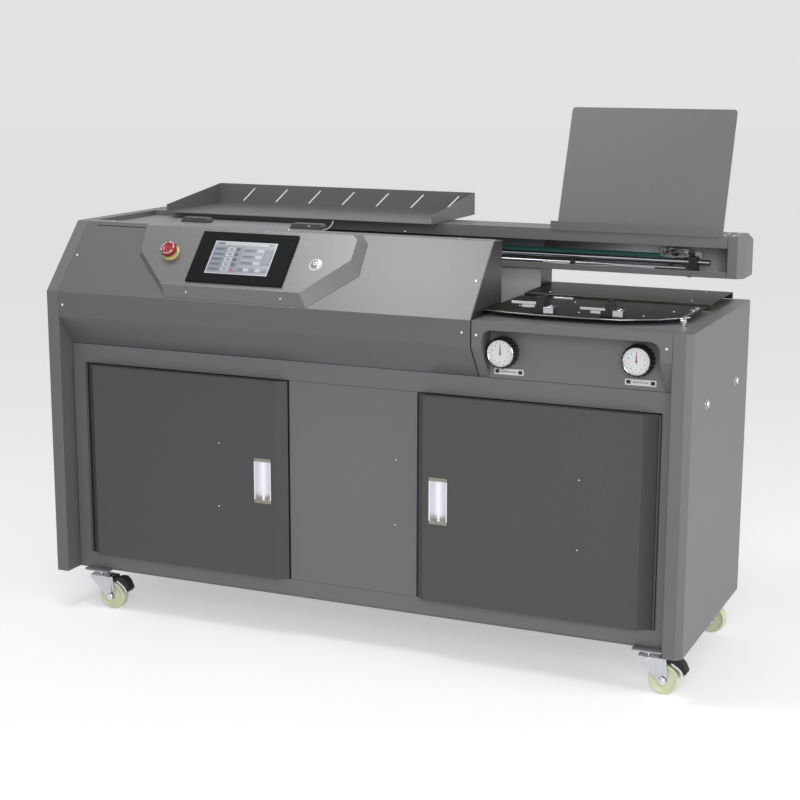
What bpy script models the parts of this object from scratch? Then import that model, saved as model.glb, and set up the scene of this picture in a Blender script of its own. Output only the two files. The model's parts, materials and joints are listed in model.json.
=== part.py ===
"""Floor-standing thermal binding machine, built piece by piece.

Lengths are in metres. Sizes are given in the machine's own frame: x from the middle of the
length, y from the front face towards the rear, z up from the floor. Every builder shifts y by
FRONT_Y, so that the finished machine is centred on the origin.

Each builder returns one object. Cutters and tools live in a hidden collection of their own.
"""
import math

import bmesh
import bpy
from mathutils import Matrix, Vector

# Clearances
GAP = 0.0003
RUN_GAP = 0.00008
CUT_MARGIN = 0.002
OVERLAP = 0.0005

# Roundness
FINE = 36
ROUND = 24
COARSE = 12
CORNER_STEPS = 5

# Casters, from the floor up
WHEEL_RADIUS = 0.032
WHEEL_HALF_WIDTH = 0.012
WHEEL_HUB_RADIUS = 0.014
WHEEL_DISH = 0.003
WHEEL_ROUNDING = 0.004
CASTER_TRAIL = 0.034
CROWN_CLEARANCE = 0.0085
CROWN_THICKNESS = 0.0056
CROWN_RADIUS = 0.020
RACE_RADIUS = 0.0215
RACE_HEIGHT = 0.0088
CASTER_PLATE = 0.0028
PLATE_HALF_X = 0.030
PLATE_HALF_Y = 0.0215
KINGPIN_RADIUS = 0.005
KINGPIN_HEIGHT = 0.0064
AXLE_RADIUS = 0.004
AXLE_NUT_RADIUS = 0.0065
AXLE_NUT_HEIGHT = 0.004
LEG_GAP = 0.0015
LEG_THICKNESS = 0.003
LEG_HEEL = 0.018
LEG_TOE = 0.006
LEG_WEB = 0.0025
LEG_FOOT_RADIUS = 0.010
BRIDGE_LENGTH = 0.043
PEDAL_BACK = 0.001
PEDAL_DROP = 0.001
PEDAL_PIN_RADIUS = 0.002
PEDAL_REACH = 0.0385
PEDAL_DEPTH = 0.008
PEDAL_OUTLINE_SHARES = ((-0.10, -0.30), (-0.10, 0.38), (0.10, 0.38), (0.34, -0.12), (0.96, -0.50),
                        (1.00, -1.00), (0.34, -0.75), (0.13, -0.44))
CROWN_Z = (2 * WHEEL_RADIUS + CROWN_CLEARANCE, 2 * WHEEL_RADIUS + CROWN_CLEARANCE + CROWN_THICKNESS)
RACE_Z = (CROWN_Z[1] + GAP, CROWN_Z[1] + GAP + RACE_HEIGHT)
PLATE_Z = (RACE_Z[1], RACE_Z[1] + CASTER_PLATE)
LEG_Y = (WHEEL_HALF_WIDTH + LEG_GAP, WHEEL_HALF_WIDTH + LEG_GAP + LEG_THICKNESS)
PEDAL_PIVOT = (CASTER_TRAIL - PEDAL_BACK, CROWN_Z[0] - PEDAL_DROP)
PEDAL_HALF_WIDTH = LEG_Y[0] - LEG_GAP

# Whole machine, across and in depth
TALL_LENGTH = 1.010
LOW_LENGTH = 0.450
LEFT_POST_WIDTH = 0.0293
RIGHT_POST_WIDTH = 0.0385
FASCIA_SEAM = 0.0023
BODY_DEPTH = 0.505
TRAY_OVERHANG = 0.127
DEPTH = BODY_DEPTH + TRAY_OVERHANG
FRONT_Y = -DEPTH / 2
HALF_LENGTH = (TALL_LENGTH + LOW_LENGTH) / 2
DIVIDE_X = -HALF_LENGTH + TALL_LENGTH
LEFT_POST_X = -HALF_LENGTH + LEFT_POST_WIDTH
RIGHT_POST_X = HALF_LENGTH - RIGHT_POST_WIDTH
INNER_X = (LEFT_POST_X + GAP, RIGHT_POST_X - GAP)
TALL_X = (LEFT_POST_X + GAP, DIVIDE_X - GAP)
LOW_X = (DIVIDE_X + FASCIA_SEAM, RIGHT_POST_X - GAP)

# Heights, each step above the one before
LOWER_HEIGHT = 0.525
INCLINE_RISE = 0.068
BAND_HEIGHT = 0.054
SLOPE_RISE = 0.145
SLOPE_RUN = 0.131
TABLE_STEP = 0.001
BODY_BOTTOM_Z = PLATE_Z[1]
RAIL_TOP_Z = BODY_BOTTOM_Z + LOWER_HEIGHT
BAND_BOTTOM_Z = RAIL_TOP_Z + INCLINE_RISE
CREASE_Z = BAND_BOTTOM_Z + BAND_HEIGHT
TABLE_Z = CREASE_Z + TABLE_STEP
HOOD_TOP_Z = CREASE_Z + SLOPE_RISE
SLOPE_ANGLE = math.atan2(SLOPE_RISE, SLOPE_RUN)
SLOPE_LENGTH = math.hypot(SLOPE_RISE, SLOPE_RUN)

# Side panels
SIDE_SKIN = 0.003
SIDE_RIM = 0.040
SIDE_STEP = 0.001
TOP_CORNER_RADIUS = 0.008
FRONT_CHAMFER = 0.0123
REAR_CHAMFER = 0.004
SIDE_EDGE_ROUNDING = 0.001
RIGHT_SIDE_TOP_Z = TABLE_Z + SIDE_STEP

# Where the casters stand
LEFT_CASTER_INSET = 0.084
RIGHT_CASTER_INSET = 0.078
FRONT_CASTER_Y = 0.052
REAR_CASTER_INSET = 0.0525
LEFT_CASTER_X = -HALF_LENGTH + LEFT_CASTER_INSET
RIGHT_CASTER_X = HALF_LENGTH - RIGHT_CASTER_INSET
REAR_CASTER_Y = BODY_DEPTH - REAR_CASTER_INSET

# Base, front frame, back and bed
FRAME_Y = 0.050
FRAME_THICKNESS = 0.020
BASE_SHEET = 0.003
BASE_RIM_HEIGHT = 0.028
BACK_SHEET = 0.0027
OPENING_SIDE_LAP = 0.020
OPENING_END_LAP = 0.018
SHELF_DROP = 0.011
SHELF_SHEET = 0.004
FRAME_DEPTH_Y = (FRAME_Y, FRAME_Y + FRAME_THICKNESS)
BASE_FRONT_Y = FRONT_CASTER_Y - PLATE_HALF_Y - GAP
BACK_Y = (BODY_DEPTH - GAP - BACK_SHEET, BODY_DEPTH - GAP)
INSIDE_Y = (FRAME_DEPTH_Y[1] + GAP, BACK_Y[0] - GAP)
BED_SHELF_Z = (RAIL_TOP_Z - SHELF_DROP - SHELF_SHEET, RAIL_TOP_Z - SHELF_DROP)

# Doors
DOOR_PROUD = 0.020
DOOR_BEVEL = 0.024
DOOR_SKIN = 0.0025
DOOR_LIFT = 0.042
DOOR_HEAD = 0.046
LEFT_STILE = 0.0407
RIGHT_STILE = 0.0345
LEFT_DOOR_WIDTH = 0.508
RIGHT_DOOR_WIDTH = 0.507
HINGE_RADIUS = 0.0029
HINGE_WELD = 0.0001
HINGE_INSET = 0.028
DOOR_FRONT_Y = FRAME_Y - DOOR_PROUD
DOOR_BACK_Y = FRAME_Y - GAP
DOOR_Z = (BODY_BOTTOM_Z + DOOR_LIFT, RAIL_TOP_Z - DOOR_HEAD)
LEFT_DOOR_X = (LEFT_POST_X + LEFT_STILE, LEFT_POST_X + LEFT_STILE + LEFT_DOOR_WIDTH)
RIGHT_DOOR_X = (RIGHT_POST_X - RIGHT_STILE - RIGHT_DOOR_WIDTH, RIGHT_POST_X - RIGHT_STILE)
HINGE_Y = FRAME_Y - HINGE_RADIUS + HINGE_WELD
LEFT_HINGE_X = LEFT_DOOR_X[0] - HINGE_RADIUS - GAP
RIGHT_HINGE_X = RIGHT_DOOR_X[1] + HINGE_RADIUS + GAP

# Door handles
HANDLE_WIDTH = 0.041
HANDLE_HEIGHT = 0.100
HANDLE_LIFT = 0.167
LEFT_HANDLE_INSET = 0.0565
RIGHT_HANDLE_INSET = 0.0515
HANDLE_RIM = 0.003
HANDLE_WALL = 0.0015
HANDLE_PROUD = 0.0015
HANDLE_DEPTH = 0.0165
HANDLE_Z = (DOOR_Z[0] + HANDLE_LIFT, DOOR_Z[0] + HANDLE_LIFT + HANDLE_HEIGHT)
LEFT_HANDLE_X = LEFT_DOOR_X[1] - LEFT_HANDLE_INSET
RIGHT_HANDLE_X = RIGHT_DOOR_X[0] + RIGHT_HANDLE_INSET

# Hood and the bar that it is hinged to
SHEET = 0.0025
HOOD_RETURN = 0.0245
HOOD_HINGE_RADIUS = 0.003
HOOD_HINGE_GAP = 0.0005
HINGE_LEAF = 0.0018
HINGE_LEAF_OFFSET = 0.001
HINGE_END = 0.008
HINGE_BAR_DEPTH = 0.018
HINGE_BAR_HEIGHT = 0.0317
END_PLATE = 0.003
END_PLATE_LIFT = 0.003
DECK_DROP = 0.012
DECK_SHEET = 0.003
DECK_Z = (HOOD_TOP_Z - DECK_DROP - DECK_SHEET, HOOD_TOP_Z - DECK_DROP)
HOOD_BACK_Y = SLOPE_RUN + HOOD_RETURN
HOOD_HINGE_Y = HOOD_BACK_Y + HOOD_HINGE_RADIUS + HOOD_HINGE_GAP
HOOD_HINGE_Z = HOOD_TOP_Z - HOOD_HINGE_RADIUS
HINGE_BAR_Y = (HOOD_HINGE_Y + HINGE_LEAF_OFFSET, HOOD_HINGE_Y + HINGE_LEAF_OFFSET + HINGE_BAR_DEPTH)
HINGE_BAR_Z = (DECK_Z[0] - GAP - HINGE_BAR_HEIGHT, DECK_Z[0] - GAP)
HOOD_PATH = ((FRAME_Y, RAIL_TOP_Z + GAP), (0, BAND_BOTTOM_Z), (0, CREASE_Z),
             (SLOPE_RUN, HOOD_TOP_Z), (HOOD_BACK_Y, HOOD_TOP_Z))

# Control pod, as shares of its length and of the slope
POD_INSET = 0.1597
POD_HEIGHT = 0.018
POD_FACE_SHARES = ((0.192, 0.133), (0.795, 0.133), (0.960, 0.594), (0.958, 0.9185), (0.016, 0.9185),
                   (0.040, 0.563))
POD_BASE_SHARES = ((0.209, 0.020), (0.824, 0.010), (1.000, 0.450), (0.993, 0.995), (0.000, 0.995),
                   (0.022, 0.548))
POD_X = LEFT_POST_X + POD_INSET

# Screen, emergency stop and start button on the pod
BEZEL_INSET = 0.162
BEZEL_LENGTH = 0.232
BEZEL_RISE = 0.036
BEZEL_WIDTH = 0.132
BEZEL_THICKNESS = 0.0045
BEZEL_RADIUS = 0.008
SCREEN_INSET = 0.038
SCREEN_LENGTH = 0.151
SCREEN_RISE = 0.024
SCREEN_WIDTH = 0.085
SCREEN_THICKNESS = 0.003
ESTOP_INSET = 0.101
ESTOP_RISE = 0.107
ESTOP_BASE_RADIUS = 0.0195
ESTOP_BASE_HEIGHT = 0.006
ESTOP_TRAVEL_ROOM = 0.005
ESTOP_CAP_RADIUS = 0.0185
ESTOP_CAP_HEIGHT = 0.011
ESTOP_CAP_ROUNDING = 0.003
ESTOP_STEM_RADIUS = 0.0085
ESTOP_STEM_SEAT = 0.001
ESTOP_FLOOR = 0.0008
START_OFFSET = 0.059
START_INSET = 0.098
START_RISE = 0.099
START_RADIUS = 0.0085
START_PROUD = 0.005
START_DEPTH = 0.004
START_TRAVEL_ROOM = 0.0035
START_ROUNDING = 0.0012
POD_TOP = POD_HEIGHT + GAP
BEZEL_X = (POD_X + BEZEL_INSET, POD_X + BEZEL_INSET + BEZEL_LENGTH)
BEZEL_S = (BEZEL_RISE, BEZEL_RISE + BEZEL_WIDTH)
SCREEN_X = (BEZEL_X[0] + SCREEN_INSET, BEZEL_X[0] + SCREEN_INSET + SCREEN_LENGTH)
SCREEN_S = (BEZEL_S[0] + SCREEN_RISE, BEZEL_S[0] + SCREEN_RISE + SCREEN_WIDTH)
ESTOP_XS = (POD_X + ESTOP_INSET, ESTOP_RISE)
START_XS = (BEZEL_X[1] + START_OFFSET, START_RISE)
POD_LENGTH = BEZEL_INSET + BEZEL_LENGTH + START_OFFSET + START_INSET

# Beam housing along the rear
BEAM_DEPTH = 0.090
BEAM_HEIGHT = 0.089
BEAM_SKIN = 0.0025
BEAM_LEFT_WALL = 0.003
BEAM_END_LENGTH = 0.035
BEAM_CHAMFER = 0.0136
BEAM_TOP_CHAMFER = 0.012
WINDOW_LOWER_LIP = 0.013
WINDOW_UPPER_LIP = 0.026
BEAM_WALL_SETBACK = 0.015
BEAM_WALL_SHEET = 0.003
BEAM_Y = (BODY_DEPTH - BEAM_DEPTH, BODY_DEPTH)
BEAM_Z = (HOOD_TOP_Z - BEAM_HEIGHT, HOOD_TOP_Z)
BEAM_INNER_X = (INNER_X[0] + BEAM_LEFT_WALL, HALF_LENGTH - BEAM_END_LENGTH)
BEAM_INNER_Z = (BEAM_Z[0] + BEAM_SKIN, BEAM_Z[1] - BEAM_SKIN)
WINDOW_Z = (BEAM_Z[0] + WINDOW_LOWER_LIP, BEAM_Z[1] - WINDOW_UPPER_LIP)
BEAM_WALL_Y = (BEAM_Y[0] + BEAM_WALL_SETBACK, BEAM_Y[0] + BEAM_WALL_SETBACK + BEAM_WALL_SHEET)

# Deck and book tray
DECK_NOTCH_FRONT = 0.379
DECK_NOTCH_BACK = 0.533
DECK_NOTCH_DEPTH = 0.2189
TRAY_INSET = 0.0657
TRAY_WIDTH = 0.678
TRAY_DEPTH = 0.237
TRAY_BACK_HEIGHT = 0.0517
TRAY_FRONT_HEIGHT = 0.019
TRAY_SHEET = 0.0025
SLOT_COUNT = 7
SLOT_LEFT_MARGIN = 0.058
SLOT_RIGHT_MARGIN = 0.073
SLOT_LEAN = 0.033
SLOT_LIFT = 0.0097
SLOT_RISE = 0.032
SLOT_HALF_WIDTH = 0.0022
DECK_FRONT_Y = HINGE_BAR_Y[0] + HINGE_LEAF + GAP
DECK_BACK_Y = BEAM_Y[0] - GAP
TRAY_X = (LEFT_POST_X + TRAY_INSET, LEFT_POST_X + TRAY_INSET + TRAY_WIDTH)
TRAY_Y = (DEPTH - TRAY_DEPTH, DEPTH)
TRAY_BOTTOM_Z = HOOD_TOP_Z + GAP
SLOT_PITCH = (TRAY_WIDTH - SLOT_LEFT_MARGIN - SLOT_RIGHT_MARGIN) / (SLOT_COUNT - 1)

# Rods, measured from the beam's front and bottom
UPPER_ROD_SETBACK = 0.035
UPPER_ROD_RISE = 0.027
UPPER_ROD_RADIUS = 0.006
UPPER_ROD_STOP = 0.078
LOWER_ROD_SETBACK = 0.025
LOWER_ROD_RISE = 0.014
LOWER_ROD_RADIUS = 0.004
LOWER_ROD_SHORTFALL = 0.007
ROD_CLAMP_INSET = 0.026
ROD_CLAMP_WIDTH = 0.019
ROD_CLAMP_WALL = 0.005
ROD_CLAMP_TOP_WALL = 0.007
UPPER_ROD_YZ = (BEAM_Y[0] + UPPER_ROD_SETBACK, BEAM_Z[0] + UPPER_ROD_RISE)
LOWER_ROD_YZ = (BEAM_Y[0] + LOWER_ROD_SETBACK, BEAM_Z[0] + LOWER_ROD_RISE)
UPPER_ROD_X = (BEAM_INNER_X[0] + GAP, HALF_LENGTH - UPPER_ROD_STOP)
ROD_CLAMP_X = (UPPER_ROD_X[1] - ROD_CLAMP_INSET - ROD_CLAMP_WIDTH, UPPER_ROD_X[1] - ROD_CLAMP_INSET)
LOWER_ROD_X = (BEAM_INNER_X[0] + GAP, ROD_CLAMP_X[0] - LOWER_ROD_SHORTFALL)

# Belt drive
DRIVE_INSET = 0.0407
IDLER_INSET = 0.170
BELT_SETBACK = 0.061
BELT_RISE = 0.032
BELT_WIDTH = 0.010
BELT_THICKNESS = 0.0015
PULLEY_RADIUS = 0.0125
PULLEY_FLANGE_HEIGHT = 0.003
PULLEY_FLANGE = 0.0015
PULLEY_PIN_RADIUS = 0.004
PULLEY_PIN_PROUD = 0.007
SHAFT_HOLE_ROOM = 0.0025
MOTOR_HALF_WIDTH = 0.021
MOTOR_HEIGHT = 0.0577
MOTOR_SHAFT_REACH = 0.0327
DRIVE_X = LEFT_POST_X + DRIVE_INSET
IDLER_X = HALF_LENGTH - IDLER_INSET
BELT_Y = BEAM_Y[0] + BELT_SETBACK
BELT_Z = (BEAM_Z[0] + BELT_RISE, BEAM_Z[0] + BELT_RISE + BELT_WIDTH)
MOTOR_Z = (BEAM_Z[0] - GAP - MOTOR_HEIGHT, BEAM_Z[0] - GAP)
DRIVE_SHAFT_BOTTOM_Z = MOTOR_Z[1] - MOTOR_SHAFT_REACH

# Tables and the nip slot between them
NIP_Y = 0.300
NIP_WIDTH = 0.024
REAR_TABLE_HEIGHT = 0.015
REAR_TABLE_END = 0.0145
FRONT_TABLE_HEIGHT = 0.012
FRONT_TABLE_END = 0.0045
FRONT_TABLE_DEPTH = 0.238
FRONT_TABLE_SHEET = 0.003
FRONT_TABLE_SHARES = ((0.0, 1.0), (0.0, 0.090), (0.142, 0.032), (0.298, 0.002), (0.513, 0.0),
                      (0.711, 0.029), (0.884, 0.185), (1.0, 0.403), (1.0, 1.0))
SPACER_WIDTH = 0.030
SPACER_DEPTH = 0.100
SPACER_END = 0.040
SPACER_SETBACK = 0.028
REAR_TABLE_X = (LOW_X[0], RIGHT_POST_X - REAR_TABLE_END)
REAR_TABLE_Y = (NIP_Y + NIP_WIDTH / 2, BODY_DEPTH - GAP)
REAR_TABLE_TOP_Z = TABLE_Z + REAR_TABLE_HEIGHT
FRONT_TABLE_X = (LOW_X[0] + GAP, RIGHT_POST_X - FRONT_TABLE_END)
FRONT_TABLE_Y = (NIP_Y - NIP_WIDTH / 2 - FRONT_TABLE_DEPTH, NIP_Y - NIP_WIDTH / 2)
FRONT_TABLE_Z = (TABLE_Z + FRONT_TABLE_HEIGHT - FRONT_TABLE_SHEET, TABLE_Z + FRONT_TABLE_HEIGHT)

# Clamp carriage, at its parking place on the left
CARRIAGE_PARK = 0.1407
CARRIAGE_LENGTH = 0.320
SLIDER_INSET = 0.060
SLIDER_FRONT_WALL = 0.013
SLIDER_BACK_WALL = 0.004
SLIDER_BOTTOM_WALL = 0.0045
SLIDER_TOP_WALL = 0.006
NECK_BOTTOM_ROOM = 0.009
NECK_TOP_ROOM = 0.006
HANGER_GAP = 0.009
HANGER_THICKNESS = 0.010
HANGER_LIFT = 0.007
JAW_CLEARANCE = 0.005
JAW_TOP_ROOM = 0.005
HANGER_TOP_ROOM = 0.004
REAR_JAW_THICKNESS = 0.012
FRONT_JAW_THICKNESS = 0.014
FRONT_JAW_INSET = 0.005
JAW_OPENING = 0.066
CROSSPIECE_ROOM = 0.026
CROSSPIECE_THICKNESS = 0.010
CROSSPIECE_HEIGHT = 0.028
CROSSPIECE_DROP = 0.002
CLAMP_BAR_RADIUS = 0.006
CLAMP_BAR_DROP = 0.016
CLAMP_BAR_INSET = 0.030
CLAMP_BAR_SEAT = 0.005
JOINT_DEPTH = 0.004
CARRIAGE_X = (LEFT_POST_X + CARRIAGE_PARK, LEFT_POST_X + CARRIAGE_PARK + CARRIAGE_LENGTH)
SLIDER_X = (CARRIAGE_X[0] + SLIDER_INSET, CARRIAGE_X[1] - SLIDER_INSET)
SLIDER_Y = (UPPER_ROD_YZ[0] - UPPER_ROD_RADIUS - SLIDER_FRONT_WALL,
            UPPER_ROD_YZ[0] + UPPER_ROD_RADIUS + SLIDER_BACK_WALL)
SLIDER_Z = (LOWER_ROD_YZ[1] - LOWER_ROD_RADIUS - SLIDER_BOTTOM_WALL,
            UPPER_ROD_YZ[1] + UPPER_ROD_RADIUS + SLIDER_TOP_WALL)
JAW_Z = (REAR_TABLE_TOP_Z + JAW_CLEARANCE, DECK_Z[0] - JAW_TOP_ROOM)
HANGER_Y = (BEAM_Y[0] - HANGER_GAP - HANGER_THICKNESS, BEAM_Y[0] - HANGER_GAP)
HANGER_Z = (JAW_Z[0] + HANGER_LIFT, DECK_Z[0] - HANGER_TOP_ROOM)
NECK_Y = (HANGER_Y[0] + JOINT_DEPTH, SLIDER_Y[0] + JOINT_DEPTH)
NECK_Z = (WINDOW_Z[0] + NECK_BOTTOM_ROOM, WINDOW_Z[1] - NECK_TOP_ROOM)
REAR_JAW_Y = (REAR_TABLE_Y[0], REAR_TABLE_Y[0] + REAR_JAW_THICKNESS)
FRONT_JAW_X = (CARRIAGE_X[0] + FRONT_JAW_INSET, CARRIAGE_X[1] - FRONT_JAW_INSET)
FRONT_JAW_Y = (REAR_JAW_Y[0] - JAW_OPENING - FRONT_JAW_THICKNESS, REAR_JAW_Y[0] - JAW_OPENING)
CROSSPIECE_Y = (FRONT_JAW_Y[0] - CROSSPIECE_ROOM - CROSSPIECE_THICKNESS, FRONT_JAW_Y[0] - CROSSPIECE_ROOM)
CROSSPIECE_Z = (JAW_Z[1] - CROSSPIECE_DROP - CROSSPIECE_HEIGHT, JAW_Z[1] - CROSSPIECE_DROP)
CLAMP_BAR_Z = JAW_Z[1] - CLAMP_BAR_DROP
CLAMP_BAR_Y = (CROSSPIECE_Y[1] - CLAMP_BAR_SEAT, HANGER_Y[0] + CLAMP_BAR_SEAT)
CLAMP_BAR_X = (CARRIAGE_X[0] + CLAMP_BAR_INSET, CARRIAGE_X[1] - CLAMP_BAR_INSET)

# Milling and glueing, just below the jaws
CUTTER_INSET = 0.400
CUTTER_OFFSET = 0.020
CUTTER_RADIUS = 0.045
CUTTER_DISC = 0.008
CUTTER_TOOTH_HEIGHT = 0.006
CUTTER_TOOTH_WIDTH = 0.006
CUTTER_TOOTH_LENGTH = 0.012
CUTTER_TEETH = 8
CUTTER_CLEARANCE = 0.002
CUTTER_SHAFT_RADIUS = 0.008
CUTTER_SHAFT_LENGTH = 0.026
CUTTER_MOTOR_RADIUS = 0.038
CUTTER_MOTOR_FOOT_RADIUS = 0.055
CUTTER_MOTOR_FOOT = 0.010
CUTTER_MOTOR_ROOM = 0.006
TANK_INSET = 0.280
TANK_LENGTH = 0.200
TANK_OFFSET = 0.015
TANK_WIDTH = 0.110
TANK_HEIGHT = 0.072
TANK_DROP = 0.016
TANK_WALL = 0.008
TANK_LEG = 0.020
ROLLER_RADIUS = 0.0235
ROLLER_CLEARANCE = 0.0025
ROLLER_SHAFT_RADIUS = 0.005
ROLLER_SIDE_GAP = 0.001
CUTTER_XY = (DIVIDE_X - CUTTER_INSET, NIP_Y - CUTTER_OFFSET)
CUTTER_TOOTH_TOP_Z = JAW_Z[0] - CUTTER_CLEARANCE
CUTTER_DISC_Z = (CUTTER_TOOTH_TOP_Z - CUTTER_TOOTH_HEIGHT - CUTTER_DISC,
                 CUTTER_TOOTH_TOP_Z - CUTTER_TOOTH_HEIGHT)
CUTTER_SHAFT_BOTTOM_Z = CUTTER_DISC_Z[0] - CUTTER_SHAFT_LENGTH
CUTTER_MOTOR_TOP_Z = CUTTER_DISC_Z[0] - CUTTER_MOTOR_ROOM
TANK_X = (DIVIDE_X - TANK_INSET, DIVIDE_X - TANK_INSET + TANK_LENGTH)
TANK_Y = (NIP_Y - TANK_OFFSET - TANK_WIDTH / 2, NIP_Y - TANK_OFFSET + TANK_WIDTH / 2)
TANK_Z = (JAW_Z[0] - TANK_DROP - TANK_HEIGHT, JAW_Z[0] - TANK_DROP)
ROLLER_XZ = (TANK_X[0] + TANK_LENGTH / 2, JAW_Z[0] - ROLLER_CLEARANCE - ROLLER_RADIUS)

# Cover rack on the beam
RACK_WIDTH = 0.369
RACK_INSET = 0.056
RACK_LIP_HEIGHT = 0.0167
RACK_BASE_DEPTH = 0.0435
RACK_BACK_HEIGHT = 0.2597
RACK_LEAN = math.radians(20)
RACK_SHEET = 0.003
RACK_CORNER = 0.025
RACK_X = (HALF_LENGTH - RACK_INSET - RACK_WIDTH, HALF_LENGTH - RACK_INSET)
RACK_BASE_Z = HOOD_TOP_Z + GAP
RACK_BEND_Y = BEAM_Y[0] + RACK_BASE_DEPTH
RACK_TOP_YZ = (RACK_BEND_Y + RACK_BACK_HEIGHT * math.tan(RACK_LEAN), RACK_BASE_Z + RACK_BACK_HEIGHT)

# Right fascia with its recess, and the knobs in it
RECESS_LEFT_MARGIN = 0.0217
RECESS_RIGHT_MARGIN = 0.0242
RECESS_TOP_MARGIN = 0.018
RECESS_RADIUS = 0.020
BED_SHEET = 0.003
KNOB_RADIUS = 0.032
KNOB_DEPTH = 0.030
KNOB_BACK_GAP = 0.005
LEFT_KNOB_INSET = 0.034
LEFT_KNOB_RISE = 0.057
RIGHT_KNOB_INSET = 0.050
RIGHT_KNOB_RISE = 0.062
KNOB_DIAL_RADIUS = 0.0265
KNOB_DIAL_DEPTH = 0.003
KNOB_FLUTES = 18
KNOB_FLUTE_RADIUS = 0.0030
KNOB_SHAFT_RADIUS = 0.006
KNOB_SHAFT_REACH = 0.025
RECESS_X = (LOW_X[0] + RECESS_LEFT_MARGIN, LOW_X[1] - RECESS_RIGHT_MARGIN)
RECESS_TOP_Z = TABLE_Z - RECESS_TOP_MARGIN
LEFT_KNOB_XZ = (RECESS_X[0] + LEFT_KNOB_INSET, RAIL_TOP_Z + LEFT_KNOB_RISE)
RIGHT_KNOB_XZ = (RECESS_X[1] - RIGHT_KNOB_INSET, RAIL_TOP_Z + RIGHT_KNOB_RISE)
KNOB_Y = (FRAME_Y - KNOB_BACK_GAP - KNOB_DEPTH, FRAME_Y - KNOB_BACK_GAP)

# Cover guides on the front table
LEFT_GUIDE_INSET = 0.1124
LEFT_GUIDE_SETBACK = 0.012
LEFT_GUIDE_HEIGHT = 0.0347
RIGHT_GUIDE_INSET = 0.2524
RIGHT_GUIDE_SETBACK = 0.021
RIGHT_GUIDE_HEIGHT = 0.0297
GUIDE_WIDTH = 0.0155
GUIDE_DEPTH = 0.028
GUIDE_SHOE_WIDTH = 0.009
GUIDE_SHOE_HEIGHT = 0.012
GUIDE_BLOCK_WIDTH = 0.021
GUIDE_BLOCK_HEIGHT = 0.014
FENCE_LENGTH = 0.050
FENCE_HEIGHT = 0.012
FENCE_THICKNESS = 0.004
FENCE_DROP = 0.012
GUIDE_FOOT_Z = FRONT_TABLE_Z[1] + GAP

MATERIALS = {
    "painted grey": ((0.155, 0.155, 0.160, 1.0), 0.0, 0.50),
    "painted dark grey": ((0.075, 0.075, 0.078, 1.0), 0.0, 0.55),
    "stainless": ((0.330, 0.330, 0.310, 1.0), 1.0, 0.35),
    "bright steel": ((0.700, 0.700, 0.700, 1.0), 1.0, 0.18),
    "aluminium": ((0.480, 0.480, 0.490, 1.0), 1.0, 0.40),
    "black plastic": ((0.012, 0.012, 0.013, 1.0), 0.0, 0.45),
    "screen glass": ((0.420, 0.470, 0.520, 1.0), 0.0, 0.15),
    "red plastic": ((0.500, 0.020, 0.020, 1.0), 0.0, 0.35),
    "yellow plastic": ((0.750, 0.600, 0.150, 1.0), 0.0, 0.45),
    "belt": ((0.060, 0.220, 0.120, 1.0), 0.0, 0.70),
    "wheel tread": ((0.720, 0.740, 0.560, 1.0), 0.0, 0.50),
}


# Helpers


def collection(name):
    """Return the collection of this name, made and linked on first use."""
    found = bpy.data.collections.get(name)
    if found is None:
        found = bpy.data.collections.new(name)
        bpy.context.scene.collection.children.link(found)
    return found


def new_object(name, mesh_data, home="machine"):
    """Wrap a bmesh in an object of the given collection."""
    mesh = bpy.data.meshes.new(name)
    bmesh.ops.recalc_face_normals(mesh_data, faces=mesh_data.faces)
    mesh_data.to_mesh(mesh)
    mesh_data.free()
    made = bpy.data.objects.new(name, mesh)
    collection(home).objects.link(made)
    return made


def oriented(first, second, height, axis):
    """Turn two in-plane values and a height along the axis into a point."""
    if axis == "X":
        return Vector((height, first, second))
    if axis == "Y":
        return Vector((first, height, second))
    return Vector((first, second, height))


def loft(name, loops, shift=True):
    """Skin a stack of equal closed loops of points and close both ends."""
    data = bmesh.new()
    offset = Vector((0, FRONT_Y if shift else 0, 0))
    rings = [[data.verts.new(Vector(point) + offset) for point in loop] for loop in loops]
    for lower, upper in zip(rings, rings[1:]):
        for index in range(len(lower)):
            after = (index + 1) % len(lower)
            data.faces.new((lower[index], lower[after], upper[after], upper[index]))
    data.faces.new(rings[0][::-1])
    data.faces.new(rings[-1])
    return new_object(name, data)


def prism(name, outline, span, axis, shift=True):
    """Extrude a closed outline along one axis, between the two values of span."""
    loops = [[oriented(a, b, height, axis) for a, b in outline] for height in span]
    return loft(name, loops, shift)


def box(name, x_span, y_span, z_span, shift=True):
    """Make a box from its limits."""
    outline = rectangle(x_span, y_span)
    return prism(name, outline, z_span, "Z", shift)


def rectangle(first_span, second_span):
    """Return the four corners of a rectangle."""
    return [(first_span[0], second_span[0]), (first_span[1], second_span[0]),
            (first_span[1], second_span[1]), (first_span[0], second_span[1])]


def circle(centre, radius, steps):
    """Return the points of a circle."""
    turn = math.tau / steps
    return [(centre[0] + radius * math.cos(turn * index), centre[1] + radius * math.sin(turn * index))
            for index in range(steps)]


def rounded(outline, radii, steps=CORNER_STEPS):
    """Replace each corner of an outline by an arc of the radius given for it."""
    result = []
    for index, corner in enumerate(outline):
        radius = radii[index]
        here = Vector(corner)
        if radius == 0:
            result.append(corner)
            continue
        back = (Vector(outline[index - 1]) - here).normalized()
        ahead = (Vector(outline[(index + 1) % len(outline)]) - here).normalized()
        half = back.angle(ahead) / 2
        centre = here + (back + ahead).normalized() * (radius / math.sin(half))
        start = here + back * (radius / math.tan(half)) - centre
        end = here + ahead * (radius / math.tan(half)) - centre
        sweep = start.angle_signed(end)
        for step in range(steps + 1):
            turned = start.copy()
            turned.rotate(Matrix.Rotation(-sweep * step / steps, 2))
            result.append(tuple(centre + turned))
    return result


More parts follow.
